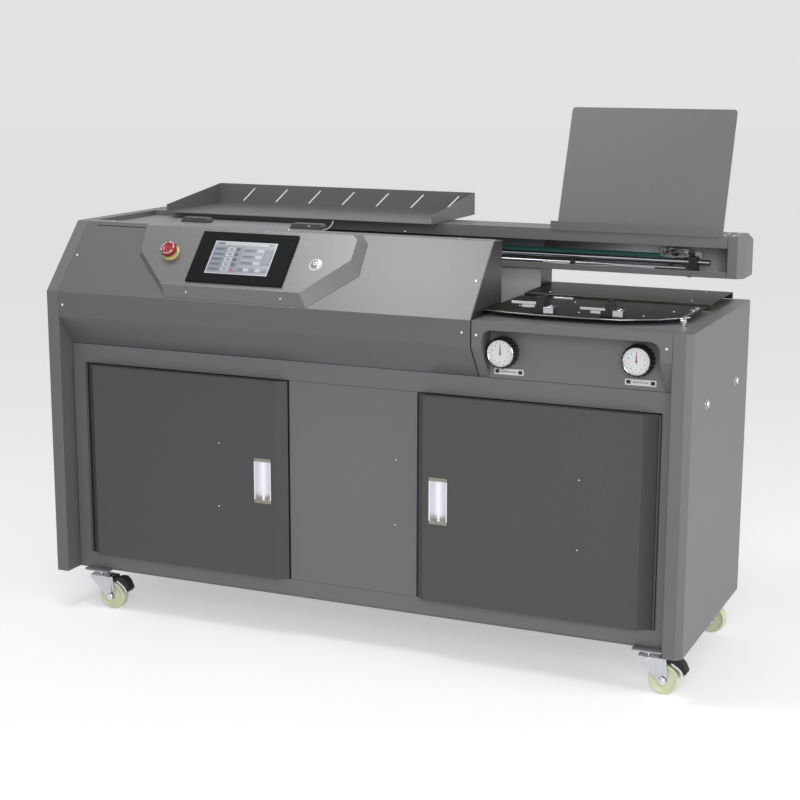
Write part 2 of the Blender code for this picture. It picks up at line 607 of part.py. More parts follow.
def mitred(path, distance):
    """Shift an open path sideways by a distance, with mitred corners."""
    points = [Vector(point) for point in path]
    directions = [(after - before).normalized() for before, after in zip(points, points[1:])]
    normals = [Vector((-direction.y, direction.x)) for direction in directions]
    shifted = [points[0] + normals[0] * distance]
    for index in range(1, len(points) - 1):
        middle = (normals[index - 1] + normals[index]).normalized()
        reach = distance / middle.dot(normals[index])
        shifted.append(points[index] + middle * reach)
    shifted.append(points[-1] + normals[-1] * distance)
    return [tuple(point) for point in shifted]


def folded_sheet(name, path, thickness, span, axis="X"):
    """Extrude a folded strip; thickness lies on the left of the path."""
    return prism(name, list(path) + mitred(path, thickness)[::-1], span, axis)


def cylinder(name, centre, radius, span, axis, steps=ROUND, shift=True):
    """Make a cylinder from its centre in the plane, its radius and its limits."""
    return prism(name, circle(centre, radius, steps), span, axis, shift)


def turned(name, profile, steps=FINE):
    """Revolve a profile of (radius, height) pairs round the local z axis and close its ends."""
    loops = [[Vector((a, b, height)) for a, b in circle((0, 0), radius, steps)]
             for radius, height in profile]
    return loft(name, loops, shift=False)


def combine(target, tools, operation):
    """Add one exact Boolean per tool and hide the tools."""
    for tool in tools:
        for owner in list(tool.users_collection):
            owner.objects.unlink(tool)
        collection("tools").objects.link(tool)
        tool.hide_render = True
        tool.hide_viewport = True
        tool.display_type = "WIRE"
        modifier = target.modifiers.new(operation.lower() + " " + tool.name, "BOOLEAN")
        modifier.operation = operation
        modifier.solver = "EXACT"
        modifier.object = tool
    return target


def cut(target, *tools):
    """Subtract the tools from the target."""
    return combine(target, tools, "DIFFERENCE")


def fuse(target, *tools):
    """Join the tools to the target."""
    return combine(target, tools, "UNION")


def soften(target, width, segments=2, angle=math.radians(40)):
    """Round the sharp edges of a piece."""
    modifier = target.modifiers.new("soft edges", "BEVEL")
    modifier.width = width
    modifier.segments = segments
    modifier.limit_method = "ANGLE"
    modifier.angle_limit = angle
    return target


def smooth(target, angle=math.radians(35)):
    """Shade round faces smooth and keep creases."""
    for polygon in target.data.polygons:
        polygon.use_smooth = True
    target.data.set_sharp_from_angle(angle=angle)
    return target


def at(x, y, z):
    """Return a world point for a point of the machine's frame."""
    return Vector((x, y + FRONT_Y, z))


def pivot(target, point):
    """Move an object's origin to a world point without moving its surface."""
    target.data.transform(Matrix.Translation(-point))
    target.location = point
    return target


def laid(target, matrix):
    """Bake a placement into an object's mesh."""
    target.data.transform(matrix)
    return target


def paint(target, name):
    """Give an object its own copy of a named material."""
    colour, metallic, roughness = MATERIALS[name]
    made = bpy.data.materials.new(target.name)
    made.use_nodes = True
    shader = made.node_tree.nodes["Principled BSDF"]
    shader.inputs["Base Color"].default_value = colour
    shader.inputs["Metallic"].default_value = metallic
    shader.inputs["Roughness"].default_value = roughness
    made.diffuse_color = colour
    target.data.materials.append(made)
    return target


def group(name, point, members):
    """Hang pieces on an empty, without moving them."""
    holder = bpy.data.objects.new(name, None)
    holder.location = point
    collection("machine").objects.link(holder)
    for member in members:
        member.parent = holder
        member.matrix_parent_inverse = Matrix.Translation(-point)
    return holder


# Cabinet


def left_side_panel():
    """Boxed side panel whose front edge follows the hood."""
    outline = rounded([(0, BODY_BOTTOM_Z), (BODY_DEPTH, BODY_BOTTOM_Z), (BODY_DEPTH, HOOD_TOP_Z),
                       (SLOPE_RUN, HOOD_TOP_Z), (0, CREASE_Z)],
                      (0, 0, TOP_CORNER_RADIUS, TOP_CORNER_RADIUS, 0))
    panel = prism("left_side_panel", outline, (-HALF_LENGTH, LEFT_POST_X), "X")
    low_z = BODY_BOTTOM_Z + SIDE_RIM
    top_z = HOOD_TOP_Z - SIDE_RIM
    back_y = BODY_DEPTH - SIDE_RIM
    hollow = [(FRAME_Y, low_z), (back_y, low_z), (back_y, top_z), (SLOPE_RUN + SIDE_RIM, top_z),
              (FRAME_Y, CREASE_Z - SIDE_RIM)]
    reach = (-HALF_LENGTH + SIDE_SKIN, LEFT_POST_X + CUT_MARGIN)
    soften(panel, SIDE_EDGE_ROUNDING)
    return paint(cut(panel, prism("left_side_pocket", hollow, reach, "X")), "painted grey")


def right_side_panel():
    """Boxed low side panel with a chamfered front edge."""
    outline = [(RIGHT_POST_X, 0), (HALF_LENGTH - FRONT_CHAMFER, 0), (HALF_LENGTH, FRONT_CHAMFER),
               (HALF_LENGTH, BODY_DEPTH - REAR_CHAMFER), (HALF_LENGTH - REAR_CHAMFER, BODY_DEPTH),
               (RIGHT_POST_X, BODY_DEPTH)]
    panel = prism("right_side_panel", outline, (BODY_BOTTOM_Z, RIGHT_SIDE_TOP_Z), "Z")
    hollow = box("right_side_pocket", (RIGHT_POST_X - CUT_MARGIN, HALF_LENGTH - SIDE_SKIN),
                 (FRAME_Y, BODY_DEPTH - SIDE_RIM), (BODY_BOTTOM_Z + SIDE_RIM, RIGHT_SIDE_TOP_Z - SIDE_RIM))
    soften(panel, SIDE_EDGE_ROUNDING)
    return paint(cut(panel, hollow), "painted grey")


def base_pan():
    """Bottom plate with an upright rim, which the casters are bolted to."""
    bottom = BODY_BOTTOM_Z + GAP
    top = bottom + BASE_SHEET
    rim_top = BODY_BOTTOM_Z + BASE_RIM_HEIGHT
    plate = box("base_pan", INNER_X, (BASE_FRONT_Y, INSIDE_Y[1]), (bottom, top))
    rim = box("base_rim", INNER_X, INSIDE_Y, (top - OVERLAP, rim_top))
    inside = box("base_inside", (INNER_X[0] + BASE_SHEET, INNER_X[1] - BASE_SHEET),
                 (INSIDE_Y[0] + BASE_SHEET, INSIDE_Y[1] - BASE_SHEET), (top, rim_top + CUT_MARGIN))
    fuse(plate, rim)
    return paint(cut(plate, inside), "painted dark grey")


def face_frame():
    """Front frame with its fixed middle panel and the barrels of the door hinges."""
    bottom = BODY_BOTTOM_Z + BASE_SHEET + GAP + GAP
    frame = box("face_frame", INNER_X, FRAME_DEPTH_Y, (bottom, RAIL_TOP_Z - GAP))
    reach = (FRAME_DEPTH_Y[0] - CUT_MARGIN, FRAME_DEPTH_Y[1] + CUT_MARGIN)
    opening_z = (DOOR_Z[0] + OPENING_END_LAP, DOOR_Z[1] - OPENING_END_LAP)
    for name, door_x in (("left_opening", LEFT_DOOR_X), ("right_opening", RIGHT_DOOR_X)):
        cut(frame, box(name, (door_x[0] + OPENING_SIDE_LAP, door_x[1] - OPENING_SIDE_LAP), reach, opening_z))
    barrel_z = (DOOR_Z[0] + HINGE_INSET, DOOR_Z[1] - HINGE_INSET)
    for name, x in (("left_barrel", LEFT_HINGE_X), ("right_barrel", RIGHT_HINGE_X)):
        fuse(frame, cylinder(name, (x, HINGE_Y), HINGE_RADIUS, barrel_z, "Z", COARSE))
    return paint(frame, "painted dark grey")


def back_panel():
    """Rear sheet, tall behind the hooded section and low behind the tables."""
    bottom = BODY_BOTTOM_Z + GAP
    outline = [(INNER_X[0], bottom), (INNER_X[1], bottom), (INNER_X[1], TABLE_Z - GAP),
               (DIVIDE_X, TABLE_Z - GAP), (DIVIDE_X, BEAM_Z[0] - GAP), (INNER_X[0], BEAM_Z[0] - GAP)]
    return paint(prism("back_panel", outline, BACK_Y, "Y"), "painted grey")


def machine_bed():
    """Shelf across the tall section that carries the milling and glueing units."""
    return paint(box("machine_bed", TALL_X, INSIDE_Y, BED_SHELF_Z), "aluminium")


def door_outline(x_span, inset, back_y):
    """Section of a door with bevelled sides, shrunk by inset and cut off at back_y."""
    front = DOOR_FRONT_Y + inset
    run = DOOR_BEVEL / (DOOR_BACK_Y - DOOR_FRONT_Y)
    flat = inset * math.tan(math.atan(1 / run) / 2) + DOOR_BEVEL
    edge = flat - run * (back_y - front)
    return [(x_span[0] + edge, back_y), (x_span[0] + flat, front),
            (x_span[1] - flat, front), (x_span[1] - edge, back_y)]


def door(name, x_span, handle_x, hinge_x):
    """Hollow door pan with a cut-out for its handle."""
    shell = prism(name, door_outline(x_span, 0, DOOR_BACK_Y), DOOR_Z, "Z")
    hollow_z = (DOOR_Z[0] + DOOR_SKIN, DOOR_Z[1] - DOOR_SKIN)
    hollow = prism(name + "_hollow", door_outline(x_span, DOOR_SKIN, FRAME_Y + CUT_MARGIN), hollow_z, "Z")
    rim = HANDLE_RIM - GAP
    half = HANDLE_WIDTH / 2 - rim
    window = box(name + "_window", (handle_x - half, handle_x + half),
                 (DOOR_FRONT_Y - CUT_MARGIN, DOOR_FRONT_Y + DOOR_SKIN + CUT_MARGIN),
                 (HANDLE_Z[0] + rim, HANDLE_Z[1] - rim))
    cut(shell, hollow, window)
    pivot(shell, at(hinge_x, HINGE_Y, DOOR_Z[0]))
    return paint(shell, "painted dark grey")


def door_handle(name, handle_x, hinge_x):
    """Recessed pull: a flange on the door's face and a cup behind it."""
    half = HANDLE_WIDTH / 2
    front = DOOR_FRONT_Y - GAP - HANDLE_PROUD
    flange = box(name, (handle_x - half, handle_x + half), (front, DOOR_FRONT_Y - GAP), HANDLE_Z)
    back = DOOR_FRONT_Y + HANDLE_DEPTH
    inner = half - HANDLE_RIM
    cup_z = (HANDLE_Z[0] + HANDLE_RIM, HANDLE_Z[1] - HANDLE_RIM)
    cup = box(name + "_cup", (handle_x - inner, handle_x + inner),
              (DOOR_FRONT_Y - GAP - OVERLAP, back), cup_z)
    room = inner - HANDLE_WALL
    hollow = box(name + "_hollow", (handle_x - room, handle_x + room),
                 (front - CUT_MARGIN, back - HANDLE_WALL),
                 (cup_z[0] + HANDLE_WALL, cup_z[1] - HANDLE_WALL))
    fuse(flange, cup)
    cut(flange, hollow)
    pivot(flange, at(hinge_x, HINGE_Y, DOOR_Z[0]))
    return paint(flange, "bright steel")


# Hood and controls


def hood_cover():
    """Folded hood sheet: incline, band, slanted face and top return."""
    cover = folded_sheet("hood_cover", HOOD_PATH, -SHEET, TALL_X)
    pivot(cover, at(0, HOOD_HINGE_Y, HOOD_HINGE_Z))
    return paint(cover, "painted grey")


def hood_hinge_bar():
    """Cross bar behind the hood with the long hinge that the hood turns on."""
    span = (TALL_X[0], TALL_X[1] - END_PLATE - GAP)
    bar = box("hood_hinge_bar", span, HINGE_BAR_Y, HINGE_BAR_Z)
    ends = (span[0] + HINGE_END, span[1] - HINGE_END)
    leaf = box("hinge_leaf", ends, (HINGE_BAR_Y[0], HINGE_BAR_Y[0] + HINGE_LEAF),
               (HINGE_BAR_Z[1] - OVERLAP, HOOD_HINGE_Z))
    barrel = cylinder("hinge_barrel", (HOOD_HINGE_Y, HOOD_HINGE_Z), HOOD_HINGE_RADIUS, ends, "X", COARSE)
    fuse(bar, leaf, barrel)
    return paint(bar, "painted dark grey")


def hood_end_plate():
    """Fixed wall that closes the right end of the tall section, just inside the hood."""
    low_z = RAIL_TOP_Z + END_PLATE_LIFT
    inner = [(y, max(z, low_z)) for y, z in mitred(HOOD_PATH, -(SHEET + GAP))]
    outline = inner + [(HINGE_BAR_Y[1], inner[-1][1]), (HINGE_BAR_Y[1], low_z)]
    plate = prism("hood_end_plate", outline, (TALL_X[1] - END_PLATE, TALL_X[1]), "X")
    return paint(plate, "stainless")


def on_slope(x, along, height):
    """Placement on the slanted face: local z stands off the face, local y runs up it."""
    frame = Matrix.Translation(at(0, 0, CREASE_Z)) @ Matrix.Rotation(SLOPE_ANGLE, 4, "X")
    return frame @ Matrix.Translation(Vector((x, along, height)))


def slope_axis(x, along):
    """World point on the slanted face, used as a pivot."""
    return on_slope(x, along, 0).translation


def control_pod():
    """Raised control housing with bevelled sides and a bore for the start button."""
    loops = [[(POD_X + POD_LENGTH * x, SLOPE_LENGTH * along, height) for x, along in shares]
             for shares, height in ((POD_BASE_SHARES, GAP), (POD_FACE_SHARES, POD_HEIGHT))]
    pod = loft("control_pod", loops, shift=False)
    bore = cylinder("start_bore", START_XS, START_RADIUS + GAP,
                    (POD_HEIGHT - START_DEPTH - START_TRAVEL_ROOM, POD_HEIGHT + CUT_MARGIN), "Z", shift=False)
    for piece in (pod, bore):
        laid(piece, on_slope(0, 0, 0))
    cut(pod, bore)
    pivot(pod, at(0, HOOD_HINGE_Y, HOOD_HINGE_Z))
    return paint(pod, "painted grey")


def screen_bezel():
    """Rounded frame round the touch screen."""
    outline = rounded(rectangle(BEZEL_X, BEZEL_S), [BEZEL_RADIUS] * 4)
    bezel = prism("screen_bezel", outline, (POD_TOP, POD_TOP + BEZEL_THICKNESS), "Z", shift=False)
    window = box("bezel_window", SCREEN_X, SCREEN_S, (POD_HEIGHT, POD_TOP + BEZEL_THICKNESS + CUT_MARGIN),
                 shift=False)
    for piece in (bezel, window):
        laid(piece, on_slope(0, 0, 0))
    cut(bezel, window)
    pivot(bezel, at(0, HOOD_HINGE_Y, HOOD_HINGE_Z))
    return paint(bezel, "black plastic")


def touch_screen():
    """Display glass, set into the bezel."""
    glass = box("touch_screen", (SCREEN_X[0] + GAP, SCREEN_X[1] - GAP),
                (SCREEN_S[0] + GAP, SCREEN_S[1] - GAP), (POD_TOP, POD_TOP + SCREEN_THICKNESS), shift=False)
    laid(glass, on_slope(0, 0, 0))
    pivot(glass, at(0, HOOD_HINGE_Y, HOOD_HINGE_Z))
    return paint(glass, "screen glass")


def estop_base():
    """Round base of the emergency stop with a bore for the button's stem."""
    base = turned("estop_base", ((ESTOP_BASE_RADIUS, 0), (ESTOP_BASE_RADIUS, ESTOP_BASE_HEIGHT)))
    bore = cylinder("estop_bore", (0, 0), ESTOP_STEM_RADIUS + RUN_GAP,
                    (ESTOP_FLOOR, ESTOP_BASE_HEIGHT + CUT_MARGIN), "Z", FINE, shift=False)
    for piece in (base, bore):
        laid(piece, on_slope(*ESTOP_XS, POD_TOP))
    cut(base, bore)
    pivot(base, at(0, HOOD_HINGE_Y, HOOD_HINGE_Z))
    return paint(smooth(base), "yellow plastic")


def estop_button():
    """Mushroom button of the emergency stop."""
    bottom = ESTOP_BASE_HEIGHT + ESTOP_TRAVEL_ROOM
    top = bottom + ESTOP_CAP_HEIGHT
    step = ESTOP_CAP_ROUNDING / 3
    profile = ((ESTOP_STEM_RADIUS, ESTOP_BASE_HEIGHT - ESTOP_STEM_SEAT), (ESTOP_STEM_RADIUS, bottom),
               (ESTOP_CAP_RADIUS, bottom), (ESTOP_CAP_RADIUS, top - ESTOP_CAP_ROUNDING),
               (ESTOP_CAP_RADIUS - step, top - step), (ESTOP_CAP_RADIUS - ESTOP_CAP_ROUNDING, top))
    button = turned("estop_button", profile)
    laid(button, on_slope(*ESTOP_XS, POD_TOP))
    pivot(button, slope_axis(*ESTOP_XS))
    return paint(smooth(button), "red plastic")


def start_button():
    """Metal push button, sunk in the pod's bore."""
    top = POD_HEIGHT + START_PROUD
    profile = ((START_RADIUS, POD_HEIGHT - START_DEPTH), (START_RADIUS, top - START_ROUNDING),
               (START_RADIUS - START_ROUNDING, top))
    button = turned("start_button", profile, ROUND)
    laid(button, on_slope(*START_XS, 0))
    pivot(button, slope_axis(*START_XS))
    return paint(smooth(button), "bright steel")


# Deck, tray, beam and drive


def top_deck():
    """Deck plate behind the hood, cut away on the right to leave the book passage open."""
    back_x = DIVIDE_X - DECK_NOTCH_BACK
    outline = [(TALL_X[0], DECK_FRONT_Y), (DIVIDE_X - DECK_NOTCH_FRONT, DECK_FRONT_Y),
               (back_x, DECK_FRONT_Y + DECK_NOTCH_DEPTH), (back_x, DECK_BACK_Y), (TALL_X[0], DECK_BACK_Y)]
    return paint(prism("top_deck", outline, DECK_Z, "Z"), "painted dark grey")


def book_tray():
    """Sheet tray with tapering sides and seven slanted slots in its back wall."""
    bottom = TRAY_BOTTOM_Z
    side = [(TRAY_Y[0], bottom), (TRAY_Y[1], bottom), (TRAY_Y[1], bottom + TRAY_BACK_HEIGHT),
            (TRAY_Y[0], bottom + TRAY_FRONT_HEIGHT)]
    tray = prism("book_tray", side, TRAY_X, "X")
    inside = box("tray_inside", (TRAY_X[0] + TRAY_SHEET, TRAY_X[1] - TRAY_SHEET),
                 (TRAY_Y[0] - CUT_MARGIN, TRAY_Y[1] - TRAY_SHEET),
                 (bottom + TRAY_SHEET, bottom + TRAY_BACK_HEIGHT + CUT_MARGIN))
    cut(tray, inside)
    slot_z = (bottom + SLOT_LIFT, bottom + SLOT_LIFT + SLOT_RISE)
    for index in range(SLOT_COUNT):
        low = TRAY_X[0] + SLOT_LEFT_MARGIN + SLOT_PITCH * index
        high = low + SLOT_LEAN
        outline = [(low - SLOT_HALF_WIDTH, slot_z[0]), (low + SLOT_HALF_WIDTH, slot_z[0]),
                   (high + SLOT_HALF_WIDTH, slot_z[1]), (high - SLOT_HALF_WIDTH, slot_z[1])]
        reach = (TRAY_Y[1] - TRAY_SHEET - CUT_MARGIN, TRAY_Y[1] + CUT_MARGIN)
        cut(tray, prism("tray_slot_%d" % (index + 1), outline, reach, "Y"))
    return paint(tray, "painted grey")


def beam_housing():
    """Box beam along the rear with an open window at the front and the idler's pin inside."""
    right = HALF_LENGTH
    outline = [(INNER_X[0], BEAM_Y[0]), (right - BEAM_CHAMFER, BEAM_Y[0]), (right, BEAM_Y[0] + BEAM_CHAMFER),
               (right, BEAM_Y[1]), (INNER_X[0], BEAM_Y[1])]
    beam = prism("beam_housing", outline, BEAM_Z, "Z")
    low_z = BEAM_Z[1] - BEAM_TOP_CHAMFER
    over_z = BEAM_Z[1] + CUT_MARGIN
    corner = [(right - BEAM_TOP_CHAMFER, over_z), (right - BEAM_TOP_CHAMFER, BEAM_Z[1]), (right, low_z),
              (right + CUT_MARGIN, low_z), (right + CUT_MARGIN, over_z)]
    chamfer = prism("beam_corner", corner, (BEAM_Y[0] - CUT_MARGIN, BEAM_Y[1] + CUT_MARGIN), "Y")
    inside = box("beam_inside", BEAM_INNER_X, (BEAM_Y[0] + BEAM_SKIN, BEAM_Y[1] - BEAM_SKIN), BEAM_INNER_Z)
    window = box("beam_window", BEAM_INNER_X, (BEAM_Y[0] - CUT_MARGIN, BEAM_Y[0] + BEAM_SKIN + CUT_MARGIN),
                 WINDOW_Z)
    shaft_hole = cylinder("shaft_hole", (DRIVE_X, BELT_Y), PULLEY_PIN_RADIUS + SHAFT_HOLE_ROOM,
                          (BEAM_Z[0] - CUT_MARGIN, BEAM_INNER_Z[0] + CUT_MARGIN), "Z", COARSE)
    cut(beam, chamfer, inside, window, shaft_hole)
    pin = cylinder("idler_pin", (IDLER_X, BELT_Y), PULLEY_PIN_RADIUS,
                   (BEAM_INNER_Z[0] - OVERLAP, BELT_Z[1] + PULLEY_PIN_PROUD), "Z")
    return paint(fuse(beam, pin), "painted grey")


def beam_wall():
    """Folded wall under the beam, with a return at the right end of the tall section."""
    front, back = BEAM_WALL_Y
    inner_x = TALL_X[1] - BEAM_WALL_SHEET
    outline = [(TALL_X[0], front), (TALL_X[1], front), (TALL_X[1], INSIDE_Y[1]), (inner_x, INSIDE_Y[1]),
               (inner_x, back), (TALL_X[0], back)]
    return paint(prism("beam_wall", outline, (BED_SHELF_Z[1] + GAP, BEAM_Z[0] - GAP), "Z"), "stainless")


def guide_rod(name, centre, radius, x_span):
    """Ground steel rod along the beam."""
    return paint(smooth(cylinder(name, centre, radius, x_span, "X")), "bright steel")


def rod_clamp():
    """Block that holds the upper rod near its right end."""
    y, z = UPPER_ROD_YZ
    half = UPPER_ROD_RADIUS + ROD_CLAMP_WALL
    block = box("rod_clamp", ROD_CLAMP_X, (y - half, y + half),
                (BEAM_INNER_Z[0] + GAP, z + UPPER_ROD_RADIUS + ROD_CLAMP_TOP_WALL))
    reach = (ROD_CLAMP_X[0] - CUT_MARGIN, ROD_CLAMP_X[1] + CUT_MARGIN)
    bore = cylinder("rod_clamp_bore", UPPER_ROD_YZ, UPPER_ROD_RADIUS + RUN_GAP, reach, "X")
    return paint(cut(block, bore), "black plastic")


def pulley(name, x):
    """Flanged belt pulley."""
    low = BELT_Z[0] - GAP
    high = BELT_Z[1] + GAP
    rim = PULLEY_RADIUS + PULLEY_FLANGE_HEIGHT
    profile = ((rim, low - PULLEY_FLANGE), (rim, low), (PULLEY_RADIUS, low), (PULLEY_RADIUS, high),
               (rim, high), (rim, high + PULLEY_FLANGE))
    made = turned(name, profile, ROUND)
    return laid(made, Matrix.Translation(at(x, BELT_Y, 0)))


def drive_pulley():
    """Belt pulley with its shaft, which runs down into the motor."""
    made = pulley("drive_pulley", DRIVE_X)
    shaft = cylinder("drive_shaft", (DRIVE_X, BELT_Y), PULLEY_PIN_RADIUS,
                     (DRIVE_SHAFT_BOTTOM_Z, BELT_Z[0]), "Z")
    fuse(made, shaft)
    pivot(made, at(DRIVE_X, BELT_Y, BELT_Z[0]))
    return paint(smooth(made), "aluminium")


def idler_pulley():
    """Belt pulley that turns freely on the beam's pin."""
    made = pulley("idler_pulley", IDLER_X)
    reach = (BELT_Z[0] - PULLEY_FLANGE - CUT_MARGIN, BELT_Z[1] + PULLEY_FLANGE + CUT_MARGIN)
    cut(made, cylinder("idler_bore", (IDLER_X, BELT_Y), PULLEY_PIN_RADIUS + RUN_GAP, reach, "Z"))
    pivot(made, at(IDLER_X, BELT_Y, BELT_Z[0]))
    return paint(smooth(made), "aluminium")


def race_track(inner_radius):
    """Outline of a loop round both pulleys."""
    half = ROUND // 2
    right = [(IDLER_X + inner_radius * math.sin(math.pi * step / half),
              BELT_Y - inner_radius * math.cos(math.pi * step / half)) for step in range(half + 1)]
    left = [(DRIVE_X - inner_radius * math.sin(math.pi * step / half),
             BELT_Y + inner_radius * math.cos(math.pi * step / half)) for step in range(half + 1)]
    return right + left


def drive_belt():
    """Toothed belt round both pulleys."""
    inner = PULLEY_RADIUS + GAP
    belt = prism("drive_belt", race_track(inner + BELT_THICKNESS), BELT_Z, "Z")
    reach = (BELT_Z[0] - CUT_MARGIN, BELT_Z[1] + CUT_MARGIN)
    return paint(cut(belt, prism("belt_inside", race_track(inner), reach, "Z")), "belt")


def belt_motor():
    """Square motor under the beam, with a bore for the pulley's shaft."""
    x_span = (DRIVE_X - MOTOR_HALF_WIDTH, DRIVE_X + MOTOR_HALF_WIDTH)
    y_span = (BELT_Y - MOTOR_HALF_WIDTH, BELT_Y + MOTOR_HALF_WIDTH)
    motor = box("belt_motor", x_span, y_span, MOTOR_Z)
    reach = (DRIVE_SHAFT_BOTTOM_Z - CUT_MARGIN, MOTOR_Z[1] + CUT_MARGIN)
    bore = cylinder("motor_bore", (DRIVE_X, BELT_Y), PULLEY_PIN_RADIUS + RUN_GAP, reach, "Z")
    return paint(cut(motor, bore), "black plastic")


def clamp_carriage():
    """Slider on the rods, with the hanger, the rear jaw and the bars that the front jaw rides on."""
    body = box("clamp_carriage", CARRIAGE_X, HANGER_Y, HANGER_Z)
    slider = box("carriage_slider", SLIDER_X, SLIDER_Y, SLIDER_Z)
    neck = box("carriage_neck", SLIDER_X, NECK_Y, NECK_Z)
    jaw = box("carriage_rear_jaw", CARRIAGE_X, REAR_JAW_Y, JAW_Z)
    crosspiece = box("carriage_crosspiece", CARRIAGE_X, CROSSPIECE_Y, CROSSPIECE_Z)
    bars = [cylinder("carriage_bar_%d" % (index + 1), (x, CLAMP_BAR_Z), CLAMP_BAR_RADIUS, CLAMP_BAR_Y, "Y")
            for index, x in enumerate(CLAMP_BAR_X)]
    fuse(body, slider, neck, *bars, jaw, crosspiece)
    reach = (SLIDER_X[0] - CUT_MARGIN, SLIDER_X[1] + CUT_MARGIN)
    cut(body, cylinder("upper_bore", UPPER_ROD_YZ, UPPER_ROD_RADIUS + RUN_GAP, reach, "X"),
        cylinder("lower_bore", LOWER_ROD_YZ, LOWER_ROD_RADIUS + RUN_GAP, reach, "X"))
    pivot(body, at(SLIDER_X[0], *UPPER_ROD_YZ))
    return paint(body, "aluminium")


def front_clamp_jaw():
    """Movable jaw on the carriage's two bars."""
    jaw = box("front_clamp_jaw", FRONT_JAW_X, FRONT_JAW_Y, JAW_Z)
    reach = (FRONT_JAW_Y[0] - CUT_MARGIN, FRONT_JAW_Y[1] + CUT_MARGIN)
    for index, x in enumerate(CLAMP_BAR_X):
        bore = cylinder("jaw_bore_%d" % (index + 1), (x, CLAMP_BAR_Z), CLAMP_BAR_RADIUS + RUN_GAP, reach, "Y")
        cut(jaw, bore)
    pivot(jaw, at(CLAMP_BAR_X[0], FRONT_JAW_Y[0], CLAMP_BAR_Z))
    return paint(jaw, "aluminium")


# Milling and glueing units


def milling_cutter():
    """Horizontal cutter disc with raised teeth and its shaft."""
    disc = cylinder("milling_cutter", CUTTER_XY, CUTTER_RADIUS, CUTTER_DISC_Z, "Z", FINE)
    shaft = cylinder("cutter_shaft", CUTTER_XY, CUTTER_SHAFT_RADIUS,
                     (CUTTER_SHAFT_BOTTOM_Z, CUTTER_DISC_Z[0] + OVERLAP), "Z")
    fuse(disc, shaft)
    half = CUTTER_TOOTH_WIDTH / 2
    reach = (CUTTER_RADIUS - CUTTER_TOOTH_LENGTH, CUTTER_RADIUS - OVERLAP)
    for index in range(CUTTER_TEETH):
        tooth = box("cutter_tooth_%d" % (index + 1), reach, (-half, half),
                    (CUTTER_DISC_Z[1] - OVERLAP, CUTTER_TOOTH_TOP_Z), shift=False)
        turn = Matrix.Rotation(math.tau * index / CUTTER_TEETH, 4, "Z")
        laid(tooth, Matrix.Translation(at(*CUTTER_XY, 0)) @ turn)
        fuse(disc, tooth)
    pivot(disc, at(*CUTTER_XY, CUTTER_DISC_Z[0]))
    return paint(disc, "bright steel")


def cutter_motor():
    """Motor that stands on the bed and drives the cutter."""
    bottom = BED_SHELF_Z[1] + GAP
    profile = ((CUTTER_MOTOR_FOOT_RADIUS, bottom), (CUTTER_MOTOR_FOOT_RADIUS, bottom + CUTTER_MOTOR_FOOT),
               (CUTTER_MOTOR_RADIUS, bottom + CUTTER_MOTOR_FOOT), (CUTTER_MOTOR_RADIUS, CUTTER_MOTOR_TOP_Z))
    motor = laid(turned("cutter_motor", profile), Matrix.Translation(at(*CUTTER_XY, 0)))
    bore = cylinder("cutter_bore", CUTTER_XY, CUTTER_SHAFT_RADIUS + RUN_GAP,
                    (CUTTER_SHAFT_BOTTOM_Z - CUT_MARGIN, CUTTER_MOTOR_TOP_Z + CUT_MARGIN), "Z")
    return paint(smooth(cut(motor, bore)), "black plastic")


def glue_tank():
    """Heated glue tank on two legs, with bores for the roller's shaft."""
    tank = box("glue_tank", TANK_X, TANK_Y, TANK_Z)
    legs = [box(name, (x, x + TANK_LEG), TANK_Y, (BED_SHELF_Z[1] + GAP, TANK_Z[0] + OVERLAP))
            for name, x in (("left_tank_leg", TANK_X[0]), ("right_tank_leg", TANK_X[1] - TANK_LEG))]
    pool = box("tank_pool", (TANK_X[0] + TANK_WALL, TANK_X[1] - TANK_WALL),
               (TANK_Y[0] + TANK_WALL, TANK_Y[1] - TANK_WALL),
               (TANK_Z[0] + TANK_WALL, TANK_Z[1] + CUT_MARGIN))
    reach = (TANK_Y[0] - CUT_MARGIN, TANK_Y[1] + CUT_MARGIN)
    bore = cylinder("tank_bore", ROLLER_XZ, ROLLER_SHAFT_RADIUS + RUN_GAP, reach, "Y")
    fuse(tank, *legs)
    return paint(cut(tank, pool, bore), "aluminium")


def glue_roller():
    """Roller that lifts glue to the book's spine."""
    y_span = (TANK_Y[0] + TANK_WALL + ROLLER_SIDE_GAP, TANK_Y[1] - TANK_WALL - ROLLER_SIDE_GAP)
    roller = cylinder("glue_roller", ROLLER_XZ, ROLLER_RADIUS, y_span, "Y", FINE)
    shaft = cylinder("roller_shaft", ROLLER_XZ, ROLLER_SHAFT_RADIUS, TANK_Y, "Y")
    fuse(roller, shaft)
    pivot(roller, at(ROLLER_XZ[0], TANK_Y[0], ROLLER_XZ[1]))
    return paint(smooth(roller), "bright steel")


# Cover rack, fascia, tables


